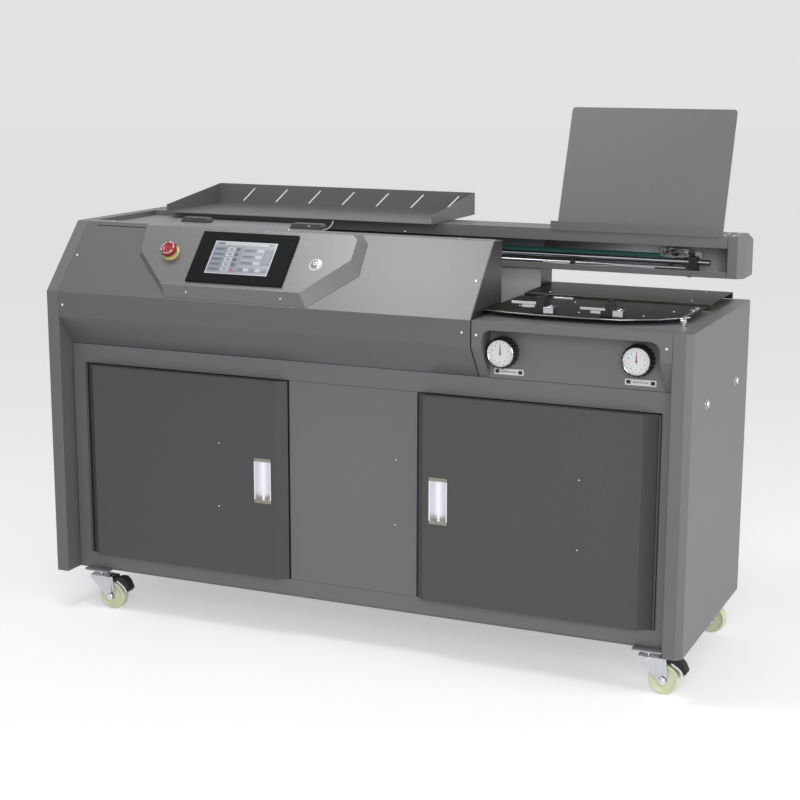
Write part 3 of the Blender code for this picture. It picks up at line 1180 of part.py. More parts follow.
def cover_rack():
    """Folded rack on the beam: front lip, base and a leaning back with round corners."""
    path = [(BEAM_Y[0], RACK_BASE_Z + RACK_LIP_HEIGHT), (BEAM_Y[0], RACK_BASE_Z),
            (RACK_BEND_Y, RACK_BASE_Z), RACK_TOP_YZ]
    rack = folded_sheet("cover_rack", path, RACK_SHEET, RACK_X)
    top = RACK_TOP_YZ[1] + CUT_MARGIN
    low = RACK_TOP_YZ[1] - RACK_CORNER
    reach = (RACK_BEND_Y, RACK_TOP_YZ[0] + RACK_CORNER)
    for name, edge, side in (("rack_left_corner", RACK_X[0], 1), ("rack_right_corner", RACK_X[1], -1)):
        centre = edge + side * RACK_CORNER
        arc = [(centre - side * RACK_CORNER * math.cos(math.radians(angle)),
                low + RACK_CORNER * math.sin(math.radians(angle))) for angle in range(0, 91, 15)]
        outside = edge - side * CUT_MARGIN
        outline = arc + [(centre, top), (outside, top), (outside, low)]
        cut(rack, prism(name, outline, reach, "Y"))
    return paint(rack, "painted grey")


def right_fascia():
    """Front fascia of the table section with a round-topped recess for the knobs."""
    back = FRAME_Y - GAP
    outline = [(back, RAIL_TOP_Z + GAP), (back, TABLE_Z), (0, TABLE_Z), (0, BAND_BOTTOM_Z)]
    fascia = prism("right_fascia", outline, LOW_X, "X")
    low = RAIL_TOP_Z - CUT_MARGIN
    opening = rounded([(RECESS_X[0], low), (RECESS_X[1], low), (RECESS_X[1], RECESS_TOP_Z),
                       (RECESS_X[0], RECESS_TOP_Z)], (0, 0, RECESS_RADIUS, RECESS_RADIUS))
    recess = prism("fascia_recess", opening, (-CUT_MARGIN, FRAME_Y), "Y")
    return paint(cut(fascia, recess), "painted grey")


def table_bed():
    """Folded sheet: the recess's back panel at the front, then the bed under the tables."""
    path = [(FRAME_Y, RAIL_TOP_Z + GAP), (FRAME_Y, TABLE_Z), (INSIDE_Y[1], TABLE_Z)]
    bed = folded_sheet("table_bed", path, -BED_SHEET, LOW_X)
    reach = (FRAME_Y - CUT_MARGIN, FRAME_Y + BED_SHEET + CUT_MARGIN)
    for name, centre in (("left_knob_hole", LEFT_KNOB_XZ), ("right_knob_hole", RIGHT_KNOB_XZ)):
        cut(bed, cylinder(name, centre, KNOB_SHAFT_RADIUS + RUN_GAP, reach, "Y"))
    return paint(bed, "painted dark grey")


def dial_knob(name, centre):
    """Ribbed knob with a sunken dial face and a shaft through the panel."""
    knob = cylinder(name, centre, KNOB_RADIUS, KNOB_Y, "Y", FINE)
    dial = cylinder(name + "_dial", centre, KNOB_DIAL_RADIUS,
                    (KNOB_Y[0] - CUT_MARGIN, KNOB_Y[0] + KNOB_DIAL_DEPTH), "Y", FINE)
    shaft = cylinder(name + "_shaft", centre, KNOB_SHAFT_RADIUS,
                     (KNOB_Y[1] - OVERLAP, FRAME_Y + KNOB_SHAFT_REACH), "Y")
    cut(knob, dial)
    for index, (x, z) in enumerate(circle(centre, KNOB_RADIUS, KNOB_FLUTES)):
        cut(knob, cylinder("%s_flute_%d" % (name, index + 1), (x, z), KNOB_FLUTE_RADIUS,
                           (KNOB_Y[0] - CUT_MARGIN, KNOB_Y[1] + CUT_MARGIN), "Y", COARSE // 2))
    fuse(knob, shaft)
    pivot(knob, at(centre[0], KNOB_Y[0], centre[1]))
    return paint(knob, "black plastic")


def rear_table():
    """Folded stainless plate behind the nip slot."""
    low = TABLE_Z + GAP
    path = [(REAR_TABLE_Y[0], low), (REAR_TABLE_Y[0], REAR_TABLE_TOP_Z), (REAR_TABLE_Y[1], REAR_TABLE_TOP_Z),
            (REAR_TABLE_Y[1], low)]
    return paint(folded_sheet("rear_table", path, -SHEET, REAR_TABLE_X), "stainless")


def front_table():
    """Boat-shaped stainless plate on two spacers."""
    length = FRONT_TABLE_X[1] - FRONT_TABLE_X[0]
    outline = [(FRONT_TABLE_X[0] + length * x, FRONT_TABLE_Y[0] + FRONT_TABLE_DEPTH * y)
               for x, y in FRONT_TABLE_SHARES]
    plate = prism("front_table", outline, FRONT_TABLE_Z, "Z")
    back = FRONT_TABLE_Y[1] - SPACER_SETBACK
    z_span = (TABLE_Z + GAP, FRONT_TABLE_Z[0] + OVERLAP)
    for name, x in (("left_spacer", FRONT_TABLE_X[0] + SPACER_END),
                    ("right_spacer", FRONT_TABLE_X[1] - SPACER_END - SPACER_WIDTH)):
        fuse(plate, box(name, (x, x + SPACER_WIDTH), (back - SPACER_DEPTH, back), z_span))
    return paint(plate, "stainless")


def cover_guide(name, inset, setback, height):
    """Guide post with its shoe, clamp block and fence bar."""
    foot = GUIDE_FOOT_Z
    top_z = foot + height
    x_span = (FRONT_TABLE_X[0] + inset, FRONT_TABLE_X[0] + inset + GUIDE_WIDTH)
    y_span = (FRONT_TABLE_Y[0] + setback, FRONT_TABLE_Y[0] + setback + GUIDE_DEPTH)
    post = box(name, x_span, y_span, (foot, top_z))
    shoe = box(name + "_shoe", (x_span[0] - GUIDE_SHOE_WIDTH, x_span[0] + OVERLAP), y_span,
               (foot, foot + GUIDE_SHOE_HEIGHT))
    block = box(name + "_block", (x_span[1] - OVERLAP, x_span[1] + GUIDE_BLOCK_WIDTH), y_span,
                (foot, foot + GUIDE_BLOCK_HEIGHT))
    fence_top = top_z - FENCE_DROP
    fence = box(name + "_fence", (x_span[0] - FENCE_LENGTH, x_span[0] + OVERLAP),
                (y_span[0], y_span[0] + FENCE_THICKNESS), (fence_top - FENCE_HEIGHT, fence_top))
    fuse(post, shoe, block, fence)
    pivot(post, at(x_span[0], y_span[0], foot))
    return paint(post, "black plastic")


# Casters


def caster_plate(name, x, y):
    """Bolt plate with the raceway under it."""
    plate = box(name, (x - PLATE_HALF_X, x + PLATE_HALF_X), (y - PLATE_HALF_Y, y + PLATE_HALF_Y), PLATE_Z)
    race = cylinder(name + "_race", (x, y), RACE_RADIUS, (RACE_Z[0], RACE_Z[1] + OVERLAP), "Z")
    bore = cylinder(name + "_bore", (x, y), KINGPIN_RADIUS + RUN_GAP,
                    (RACE_Z[0] - CUT_MARGIN, CROWN_Z[1] + KINGPIN_HEIGHT + GAP), "Z")
    fuse(plate, race)
    return paint(cut(plate, bore), "bright steel")


def caster_fork(name, x, y, braked):
    """Swivelling fork with its kingpin, legs and axle."""
    fork = cylinder(name, (x, y), CROWN_RADIUS, CROWN_Z, "Z")
    kingpin = cylinder(name + "_kingpin", (x, y), KINGPIN_RADIUS,
                       (CROWN_Z[0], CROWN_Z[1] + KINGPIN_HEIGHT), "Z")
    half = LEG_Y[1] + OVERLAP
    bridge = box(name + "_bridge", (x - LEG_HEEL - OVERLAP, x - LEG_HEEL + BRIDGE_LENGTH),
                 (y - half, y + half), (CROWN_Z[0], CROWN_Z[1] - OVERLAP))
    axle_x = x + CASTER_TRAIL
    foot = [(axle_x + LEG_FOOT_RADIUS * math.cos(math.radians(angle)),
             WHEEL_RADIUS + LEG_FOOT_RADIUS * math.sin(math.radians(angle))) for angle in range(200, 361, 20)]
    leg_top = CROWN_Z[1] - 2 * OVERLAP
    outline = [(x - LEG_HEEL, leg_top), (x - LEG_HEEL, CROWN_Z[0] - LEG_WEB)] + foot
    outline += [(axle_x + LEG_TOE, leg_top)]
    legs = [prism(name + "_leg_%d" % side, outline, sorted((y + side * LEG_Y[0], y + side * LEG_Y[1])), "Y")
            for side in (-1, 1)]
    axle = cylinder(name + "_axle", (axle_x, WHEEL_RADIUS), AXLE_RADIUS, (y - half, y + half), "Y")
    nut_y = (LEG_Y[1] - OVERLAP, LEG_Y[1] + AXLE_NUT_HEIGHT)
    nuts = [cylinder(name + "_nut_%d" % side, (axle_x, WHEEL_RADIUS), AXLE_NUT_RADIUS,
                     sorted((y + side * nut_y[0], y + side * nut_y[1])), "Y", 6)
            for side in (-1, 1)]
    fuse(fork, kingpin, bridge, *legs, axle, *nuts)
    if braked:
        pin_centre = (x + PEDAL_PIVOT[0], PEDAL_PIVOT[1])
        fuse(fork, cylinder(name + "_pin", pin_centre, PEDAL_PIN_RADIUS, (y - half, y + half), "Y", COARSE))
    pivot(fork, at(x, y, CROWN_Z[1]))
    return paint(fork, "bright steel")


def caster_wheel(name, x, y):
    """Moulded wheel with a dished hub."""
    tread = WHEEL_HALF_WIDTH - WHEEL_ROUNDING
    hub = WHEEL_HALF_WIDTH - WHEEL_DISH
    bore = AXLE_RADIUS + RUN_GAP
    half = ((bore, WHEEL_HALF_WIDTH), (WHEEL_HUB_RADIUS, WHEEL_HALF_WIDTH),
            (WHEEL_HUB_RADIUS + WHEEL_DISH, hub), (WHEEL_RADIUS - WHEEL_ROUNDING - WHEEL_DISH, hub),
            (WHEEL_RADIUS - WHEEL_ROUNDING, WHEEL_HALF_WIDTH), (WHEEL_RADIUS, tread))
    profile = list(half) + [(radius, -height) for radius, height in half[::-1]]
    data = bmesh.new()
    rings = [[data.verts.new((a, b, height)) for a, b in circle((0, 0), radius, FINE)]
             for radius, height in profile]
    for lower, upper in zip(rings, rings[1:] + rings[:1]):
        for index in range(FINE):
            after = (index + 1) % FINE
            data.faces.new((lower[index], lower[after], upper[after], upper[index]))
    wheel = new_object(name, data)
    laid(wheel, Matrix.Rotation(math.radians(90), 4, "X"))
    wheel.location = at(x + CASTER_TRAIL, y, WHEEL_RADIUS)
    return paint(smooth(wheel), "wheel tread")


def brake_pedal(name, x, y):
    """Foot pedal that pivots between the fork's legs."""
    centre = (x + PEDAL_PIVOT[0], PEDAL_PIVOT[1])
    outline = [(centre[0] + PEDAL_REACH * along, centre[1] + PEDAL_DEPTH * up)
               for along, up in PEDAL_OUTLINE_SHARES]
    pedal = prism(name, outline, (y - PEDAL_HALF_WIDTH, y + PEDAL_HALF_WIDTH), "Y")
    reach = (y - PEDAL_HALF_WIDTH - CUT_MARGIN, y + PEDAL_HALF_WIDTH + CUT_MARGIN)
    cut(pedal, cylinder(name + "_bore", centre, PEDAL_PIN_RADIUS + RUN_GAP, reach, "Y", COARSE))
    pivot(pedal, at(centre[0], y, centre[1]))
    return paint(pedal, "black plastic")


def caster(place, x, y, braked):
    """Build one caster and hang its turning pieces on an empty at the swivel."""
    plate = caster_plate("caster_plate_" + place, x, y)
    moving = [caster_fork("caster_fork_" + place, x, y, braked), caster_wheel("caster_wheel_" + place, x, y)]
    if braked:
        moving.append(brake_pedal("brake_pedal_" + place, x, y))
    group("caster_swivel_" + place, at(x, y, CROWN_Z[1]), moving)
    return plate


def clear_scene():
    """Remove everything that the start-up scene holds."""
    for thing in list(bpy.data.objects):
        bpy.data.objects.remove(thing, do_unlink=True)


def build():
    """Build the whole machine and group its assemblies."""
    clear_scene()
    bpy.context.scene.unit_settings.system = "METRIC"
    fixed = [base_pan(), left_side_panel(), right_side_panel(), face_frame(), back_panel(), machine_bed(),
             hood_hinge_bar(), hood_end_plate()]
    doors = [(LEFT_HINGE_X, [door("left_door", LEFT_DOOR_X, LEFT_HANDLE_X, LEFT_HINGE_X),
                             door_handle("left_door_handle", LEFT_HANDLE_X, LEFT_HINGE_X)]),
             (RIGHT_HINGE_X, [door("right_door", RIGHT_DOOR_X, RIGHT_HANDLE_X, RIGHT_HINGE_X),
                              door_handle("right_door_handle", RIGHT_HANDLE_X, RIGHT_HINGE_X)])]
    for (hinge_x, leaves), name in zip(doors, ("left_door_swing", "right_door_swing")):
        group(name, at(hinge_x, HINGE_Y, DOOR_Z[0]), leaves)
    group("hood_swing", at(0, HOOD_HINGE_Y, HOOD_HINGE_Z),
          [hood_cover(), control_pod(), screen_bezel(), touch_screen(), estop_base(), estop_button(),
           start_button()])
    beam = [top_deck(), book_tray(), beam_housing(), beam_wall(),
            guide_rod("upper_guide_rod", UPPER_ROD_YZ, UPPER_ROD_RADIUS, UPPER_ROD_X),
            guide_rod("lower_guide_rod", LOWER_ROD_YZ, LOWER_ROD_RADIUS, LOWER_ROD_X),
            rod_clamp(), drive_pulley(), idler_pulley(), drive_belt(), belt_motor(), cover_rack()]
    group("clamp_travel", at(SLIDER_X[0], *UPPER_ROD_YZ), [clamp_carriage(), front_clamp_jaw()])
    units = [milling_cutter(), cutter_motor(), glue_tank(), glue_roller()]
    table = [right_fascia(), table_bed(), rear_table(), front_table(),
             dial_knob("left_dial_knob", LEFT_KNOB_XZ), dial_knob("right_dial_knob", RIGHT_KNOB_XZ),
             cover_guide("left_cover_guide", LEFT_GUIDE_INSET, LEFT_GUIDE_SETBACK, LEFT_GUIDE_HEIGHT),
             cover_guide("right_cover_guide", RIGHT_GUIDE_INSET, RIGHT_GUIDE_SETBACK, RIGHT_GUIDE_HEIGHT)]
    plates = [caster("front_left", LEFT_CASTER_X, FRONT_CASTER_Y, True),
              caster("front_right", RIGHT_CASTER_X, FRONT_CASTER_Y, True),
              caster("rear_left", LEFT_CASTER_X, REAR_CASTER_Y, False),
              caster("rear_right", RIGHT_CASTER_X, REAR_CASTER_Y, False)]
    origin = Vector((0, 0, 0))
    for name, members in (("cabinet", fixed), ("beam_assembly", beam), ("process_units", units),
                          ("table_section", table), ("caster_plates", plates)):
        group(name, origin, members)


build()
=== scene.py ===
"""Looks of the thermal binding machine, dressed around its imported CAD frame.

Lengths are in metres. Details are placed in the machine's own frame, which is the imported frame
with y counted from the front plane: x from the middle of the length, y towards the rear, z up.
"""
import json
import logging
import math
from dataclasses import dataclass, field
from enum import Enum
from typing import Iterable, Sequence

import bmesh
import bpy
import numpy as np
from mathutils import Matrix, Vector

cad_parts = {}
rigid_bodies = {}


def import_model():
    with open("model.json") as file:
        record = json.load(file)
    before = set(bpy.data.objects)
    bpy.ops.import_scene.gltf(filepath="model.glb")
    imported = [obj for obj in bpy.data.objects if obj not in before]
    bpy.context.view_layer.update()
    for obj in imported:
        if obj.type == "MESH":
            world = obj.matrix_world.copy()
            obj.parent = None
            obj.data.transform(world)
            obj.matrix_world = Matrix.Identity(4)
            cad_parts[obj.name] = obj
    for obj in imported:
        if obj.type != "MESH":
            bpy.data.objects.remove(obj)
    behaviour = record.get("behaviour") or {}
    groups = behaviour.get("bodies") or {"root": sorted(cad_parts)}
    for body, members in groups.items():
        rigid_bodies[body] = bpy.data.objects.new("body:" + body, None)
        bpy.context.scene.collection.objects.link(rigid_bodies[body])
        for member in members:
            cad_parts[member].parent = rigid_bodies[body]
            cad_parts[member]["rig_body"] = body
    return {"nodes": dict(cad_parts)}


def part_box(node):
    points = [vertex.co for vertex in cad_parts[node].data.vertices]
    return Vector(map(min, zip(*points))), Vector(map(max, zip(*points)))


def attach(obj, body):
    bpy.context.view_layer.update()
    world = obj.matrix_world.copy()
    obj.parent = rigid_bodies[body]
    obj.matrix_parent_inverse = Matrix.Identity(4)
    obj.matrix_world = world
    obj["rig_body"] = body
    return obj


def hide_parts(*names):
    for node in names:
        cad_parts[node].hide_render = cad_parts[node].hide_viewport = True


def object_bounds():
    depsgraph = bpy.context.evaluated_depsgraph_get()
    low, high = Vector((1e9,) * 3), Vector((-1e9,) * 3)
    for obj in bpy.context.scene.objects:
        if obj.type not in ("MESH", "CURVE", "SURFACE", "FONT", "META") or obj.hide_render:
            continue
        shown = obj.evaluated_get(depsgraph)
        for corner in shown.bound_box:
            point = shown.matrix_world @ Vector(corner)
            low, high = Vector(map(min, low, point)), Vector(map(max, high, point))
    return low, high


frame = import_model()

CAD_BOX = [list(corner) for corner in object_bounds()]
FRONT = CAD_BOX[0][1]
LOG = logging.getLogger("binding_machine")
Surface = tuple[np.ndarray, list[list[int]]]
Pair = tuple[float, float]
Triple = tuple[float, float, float]

# Gap between faces that lie on each other. Points nearer than these distances become one, in this
# script's surfaces and in CAD meshes, and CAD faces that meet under this angle become one
SEAT_GAP = 0.0003
MERGE_DISTANCE = 1e-7
CAD_MERGE_DISTANCE = 2e-6
FLAT_ANGLE = math.radians(0.8)

LEFT_AND_RIGHT = ("left", "right")
CORNERS = ("front_left", "front_right", "rear_left", "rear_right")


# Colours and shared shader groups


def linear(red: float, green: float, blue: float) -> tuple[float, float, float, float]:
    """Turn a colour of 0 to 255 as it is seen on screen into the linear one that shaders take.

    Args:
        red: red channel, 0 to 255.
        green: green channel, 0 to 255.
        blue: blue channel, 0 to 255.

    Returns:
        The linear colour with full alpha.
    """
    seen = np.array([red, green, blue]) / 255.0
    values = np.where(seen <= 0.04045, seen / 12.92, ((seen + 0.055) / 1.055) ** 2.4)
    return (*values.tolist(), 1.0)


@dataclass
class NodeBoard:
    """A node tree with short ways to add and join nodes."""

    tree: bpy.types.NodeTree

    def add(self, kind: str, **settings: object) -> bpy.types.Node:
        """Add a node and set its properties.

        Args:
            kind: the node's type name in Blender.
            settings: properties of the node.

        Returns:
            The new node.
        """
        node = self.tree.nodes.new(kind)
        for key, value in settings.items():
            setattr(node, key, value)
        return node

    def feed(self, target: bpy.types.NodeSocket, source: object) -> None:
        """Give an input socket a link or a value.

        Args:
            target: the socket that takes it.
            source: an output socket, or a plain value.
        """
        if isinstance(source, bpy.types.NodeSocket):
            self.tree.links.new(source, target)
        else:
            target.default_value = source

    def maths(self, operation: str, first: object, second: object = 0.0) -> bpy.types.NodeSocket:
        """Add a Math node and return its result."""
        node = self.add("ShaderNodeMath", operation=operation)
        self.feed(node.inputs[0], first)
        self.feed(node.inputs[1], second)
        return node.outputs[0]

    def ranged(self, value: object, low: float, high: float) -> bpy.types.NodeSocket:
        """Spread a value of 0 to 1 over the span from low to high."""
        node = self.add("ShaderNodeMapRange")
        self.feed(node.inputs["Value"], value)
        node.inputs["To Min"].default_value = low
        node.inputs["To Max"].default_value = high
        return node.outputs["Result"]

    def mixed(self, share: object, first: object, second: object) -> bpy.types.NodeSocket:
        """Mix two colours by a share."""
        node = self.add("ShaderNodeMix", data_type="RGBA")
        self.feed(node.inputs["Factor"], share)
        self.feed(node.inputs[6], first)
        self.feed(node.inputs[7], second)
        return node.outputs[2]

    def spread(self, value: object, amount: object) -> bpy.types.NodeSocket:
        """How far a value of 0 to 1 lies from its middle, times an amount."""
        return self.maths("MULTIPLY", self.maths("SUBTRACT", value, 0.5), amount)

    def scaled(self, colour: object, factor: object) -> bpy.types.NodeSocket:
        """Multiply a colour by a factor."""
        node = self.add("ShaderNodeVectorMath", operation="SCALE")
        self.feed(node.inputs[0], colour)
        self.feed(node.inputs["Scale"], factor)
        return node.outputs[0]

    def position(self) -> bpy.types.NodeSocket:
        """Return the place on the piece in its own coordinates."""
        return self.add("ShaderNodeTexCoord").outputs["Object"]

    def noise(self, vector: object, scale: object, detail: float,
              rough: float = 0.5) -> bpy.types.NodeSocket:
        """Add a Noise texture and return its value."""
        node = self.add("ShaderNodeTexNoise")
        self.feed(node.inputs["Vector"], vector)
        self.feed(node.inputs["Scale"], scale)
        node.inputs["Detail"].default_value = detail
        node.inputs["Roughness"].default_value = rough
        return node.outputs["Fac"]

    def bump(self, height: object, strength: object, distance: float) -> bpy.types.NodeSocket:
        """Turn a height into a normal."""
        node = self.add("ShaderNodeBump")
        self.feed(node.inputs["Height"], height)
        self.feed(node.inputs["Strength"], strength)
        node.inputs["Distance"].default_value = distance
        return node.outputs["Normal"]


def shader_group(name: str, inputs: Sequence[tuple[str, str, object]]) -> tuple[NodeBoard, bpy.types.Node]:
    """Start a node group whose outputs are Colour, Roughness and Normal.

    Args:
        name: name of the group.
        inputs: name, socket type and default of each input.

    Returns:
        The board of the group, and its input node.
    """
    tree = bpy.data.node_groups.new(name, "ShaderNodeTree")
    for label, kind, default in inputs:
        socket = tree.interface.new_socket(name=label, in_out="INPUT", socket_type=kind)
        socket.default_value = default
    for label, kind in (("Colour", "NodeSocketColor"), ("Roughness", "NodeSocketFloat"),
                        ("Normal", "NodeSocketVector")):
        tree.interface.new_socket(name=label, in_out="OUTPUT", socket_type=kind)
    board = NodeBoard(tree)
    return board, board.add("NodeGroupInput")


def close_group(board: NodeBoard, colour: object, roughness: object, normal: object) -> bpy.types.NodeTree:
    """Join the outputs of a group and return it."""
    end = board.add("NodeGroupOutput")
    for label, source in (("Colour", colour), ("Roughness", roughness), ("Normal", normal)):
        board.feed(end.inputs[label], source)
    return board.tree


def powder_coat_group() -> bpy.types.NodeTree:
    """Sprayed and baked paint: sandy grains, a slow drift of tone, and a few paler specks."""
    board, start = shader_group("powder_coat", (
        ("Colour", "NodeSocketColor", (0.2, 0.2, 0.2, 1.0)), ("Gloss", "NodeSocketFloat", 0.45),
        ("Grain", "NodeSocketFloat", 520.0), ("Relief", "NodeSocketFloat", 0.3),
        ("Drift", "NodeSocketFloat", 0.05)))
    place = board.position()
    fine = board.noise(place, start.outputs["Grain"], 3.0, 0.6)
    slow = board.noise(place, 5.0, 3.0)
    speck = board.noise(place, board.maths("MULTIPLY", start.outputs["Grain"], 1.9), 1.0)
    change = board.maths("ADD", board.spread(slow, start.outputs["Drift"]), board.spread(fine, 0.16))
    tone = board.scaled(start.outputs["Colour"], board.maths("ADD", change, 1.0))
    mask = board.maths("GREATER_THAN", speck, 0.71)
    colour = board.mixed(board.maths("MULTIPLY", mask, 0.18), tone, (0.6, 0.6, 0.6, 1.0))
    rough = board.maths("ADD", start.outputs["Gloss"], board.ranged(fine, -0.07, 0.07))
    return close_group(board, colour, rough, board.bump(fine, start.outputs["Relief"], 0.0006))


def brushed_group() -> bpy.types.NodeTree:
    """Brushed steel: fine scratches drawn along one direction, with cloudy smears."""
    board, start = shader_group("brushed_steel", (
        ("Colour", "NodeSocketColor", (0.3, 0.3, 0.28, 1.0)), ("Gloss", "NodeSocketFloat", 0.28),
        ("Scratch Scale", "NodeSocketVector", (6.0, 700.0, 700.0)), ("Relief", "NodeSocketFloat", 0.1),
        ("Smear", "NodeSocketFloat", 0.25)))
    place = board.position()
    stretch = board.add("ShaderNodeVectorMath", operation="MULTIPLY")
    board.feed(stretch.inputs[0], place)
    board.feed(stretch.inputs[1], start.outputs["Scratch Scale"])
    scratch = board.noise(stretch.outputs[0], 1.0, 2.0, 0.7)
    cloud = board.noise(place, 9.0, 4.0, 0.6)
    change = board.maths("ADD", board.spread(cloud, start.outputs["Smear"]), board.spread(scratch, 0.35))
    tone = board.scaled(start.outputs["Colour"], board.maths("ADD", change, 1.0))
    uneven = board.maths("ADD", board.ranged(scratch, -0.08, 0.08), board.ranged(cloud, -0.05, 0.05))
    rough = board.maths("ADD", start.outputs["Gloss"], uneven)
    return close_group(board, tone, rough, board.bump(scratch, start.outputs["Relief"], 0.0002))


def moulded_group() -> bpy.types.NodeTree:
    """Moulded plastic or rubber: faint leathery grain and a slight change of tone."""
    board, start = shader_group("moulded_plastic", (
        ("Colour", "NodeSocketColor", (0.05, 0.05, 0.05, 1.0)), ("Gloss", "NodeSocketFloat", 0.4),
        ("Grain", "NodeSocketFloat", 900.0), ("Relief", "NodeSocketFloat", 0.15),
        ("Drift", "NodeSocketFloat", 0.06)))
    place = board.position()
    fine = board.noise(place, start.outputs["Grain"], 2.0, 0.5)
    slow = board.noise(place, 30.0, 3.0)
    drift = board.spread(slow, start.outputs["Drift"])
    tone = board.scaled(start.outputs["Colour"], board.maths("ADD", drift, 1.0))
    rough = board.maths("ADD", start.outputs["Gloss"], board.ranged(slow, -0.05, 0.05))
    return close_group(board, tone, rough, board.bump(fine, start.outputs["Relief"], 0.0003))


GROUPS = {"powder_coat": powder_coat_group(), "brushed_steel": brushed_group(),
          "moulded_plastic": moulded_group()}


class Grain(Enum):
    """Direction in which a steel sheet was brushed, as the scale of its scratches."""

    ALONG_LENGTH = (5.0, 650.0, 650.0)
    UPRIGHT = (650.0, 650.0, 5.0)


def blank_material(name: str) -> tuple[bpy.types.Material, NodeBoard, bpy.types.Node]:
    """Make a material, and return it with its board and its Principled shader."""
    material = bpy.data.materials.new(name)
    material.use_nodes = True
    return material, NodeBoard(material.node_tree), material.node_tree.nodes["Principled BSDF"]


def shaded(name: str, group: str, values: dict[str, object],
           plain: dict[str, object]) -> bpy.types.Material:
    """Make a material of one shared group and a Principled shader, once for each name.

    Args:
        name: name of the material.
        group: name of the shader group that gives colour, roughness and normal.
        values: values of the group's inputs.
        plain: values set on the Principled shader's own sockets.

    Returns:
        The material.
    """
    found = bpy.data.materials.get(name)
    if found:
        return found
    material, board, shader = blank_material(name)
    effect = board.add("ShaderNodeGroup", node_tree=GROUPS[group])
    for key, value in values.items():
        effect.inputs[key].default_value = value
    for key, value in plain.items():
        shader.inputs[key].default_value = value
    for source, target in (("Colour", "Base Color"), ("Roughness", "Roughness"), ("Normal", "Normal")):
        board.feed(shader.inputs[target], effect.outputs[source])
    material.diffuse_color = values["Colour"]
    return material


@dataclass(frozen=True)
class Paint:
    """Textured powder coat on sheet metal."""

    name: str
    colour: Triple
    slot: str
    gloss: float = 0.42
    grain: float = 480.0
    relief: float = 0.32
    drift: float = 0.08

    def material(self) -> bpy.types.Material:
        """Return the paint's material."""
        return shaded(self.name, "powder_coat",
                      {"Colour": linear(*self.colour), "Gloss": self.gloss, "Grain": self.grain,
                       "Relief": self.relief, "Drift": self.drift}, {"Specular IOR Level": 0.55})


@dataclass(frozen=True)
class Steel:
    """Bare metal, brushed along one direction."""

    name: str
    colour: Triple
    slot: str
    gloss: float = 0.25
    grain: Grain = Grain.ALONG_LENGTH
    relief: float = 0.1
    smear: float = 0.2
    edge_tint: float = 1.0

    def material(self) -> bpy.types.Material:
        """Return the metal's material."""
        return shaded(self.name, "brushed_steel",
                      {"Colour": linear(*self.colour), "Gloss": self.gloss, "Scratch Scale": self.grain.value,
                       "Relief": self.relief, "Smear": self.smear},
                      {"Metallic": 1.0, "Specular Tint": (self.edge_tint,) * 3 + (1.0,)})


@dataclass(frozen=True)
class Plastic:
    """Moulded plastic, rubber or printed film."""

    name: str
    colour: Triple
    slot: str
    gloss: float = 0.4
    grain: float = 900.0
    relief: float = 0.12
    coat: float = 0.0
    specular: float = 0.5

    def material(self) -> bpy.types.Material:
        """Return the plastic's material."""
        return shaded(self.name, "moulded_plastic",
                      {"Colour": linear(*self.colour), "Gloss": self.gloss, "Grain": self.grain,
                       "Relief": self.relief},
                      {"Coat Weight": self.coat, "Coat Roughness": 0.08, "Specular IOR Level": self.specular})


@dataclass(frozen=True)
class LitDisplay:
    """Display behind its glass: the tint of each tile comes from the piece's own attribute."""

    name: str
    slot: str
    strength: float = 0.10

    def material(self) -> bpy.types.Material:
        """Return the display's material."""
        material, board, shader = blank_material(self.name)
        tint = board.add("ShaderNodeAttribute", attribute_name="tint").outputs["Color"]
        glow = board.noise(board.position(), 14.0, 2.0)
        shade = board.scaled(tint, board.ranged(glow, 0.9, 1.06))
        board.feed(shader.inputs["Base Color"], shade)
        board.feed(shader.inputs["Emission Color"], shade)
        shader.inputs["Emission Strength"].default_value = self.strength
        shader.inputs["Roughness"].default_value = 0.18
        return material


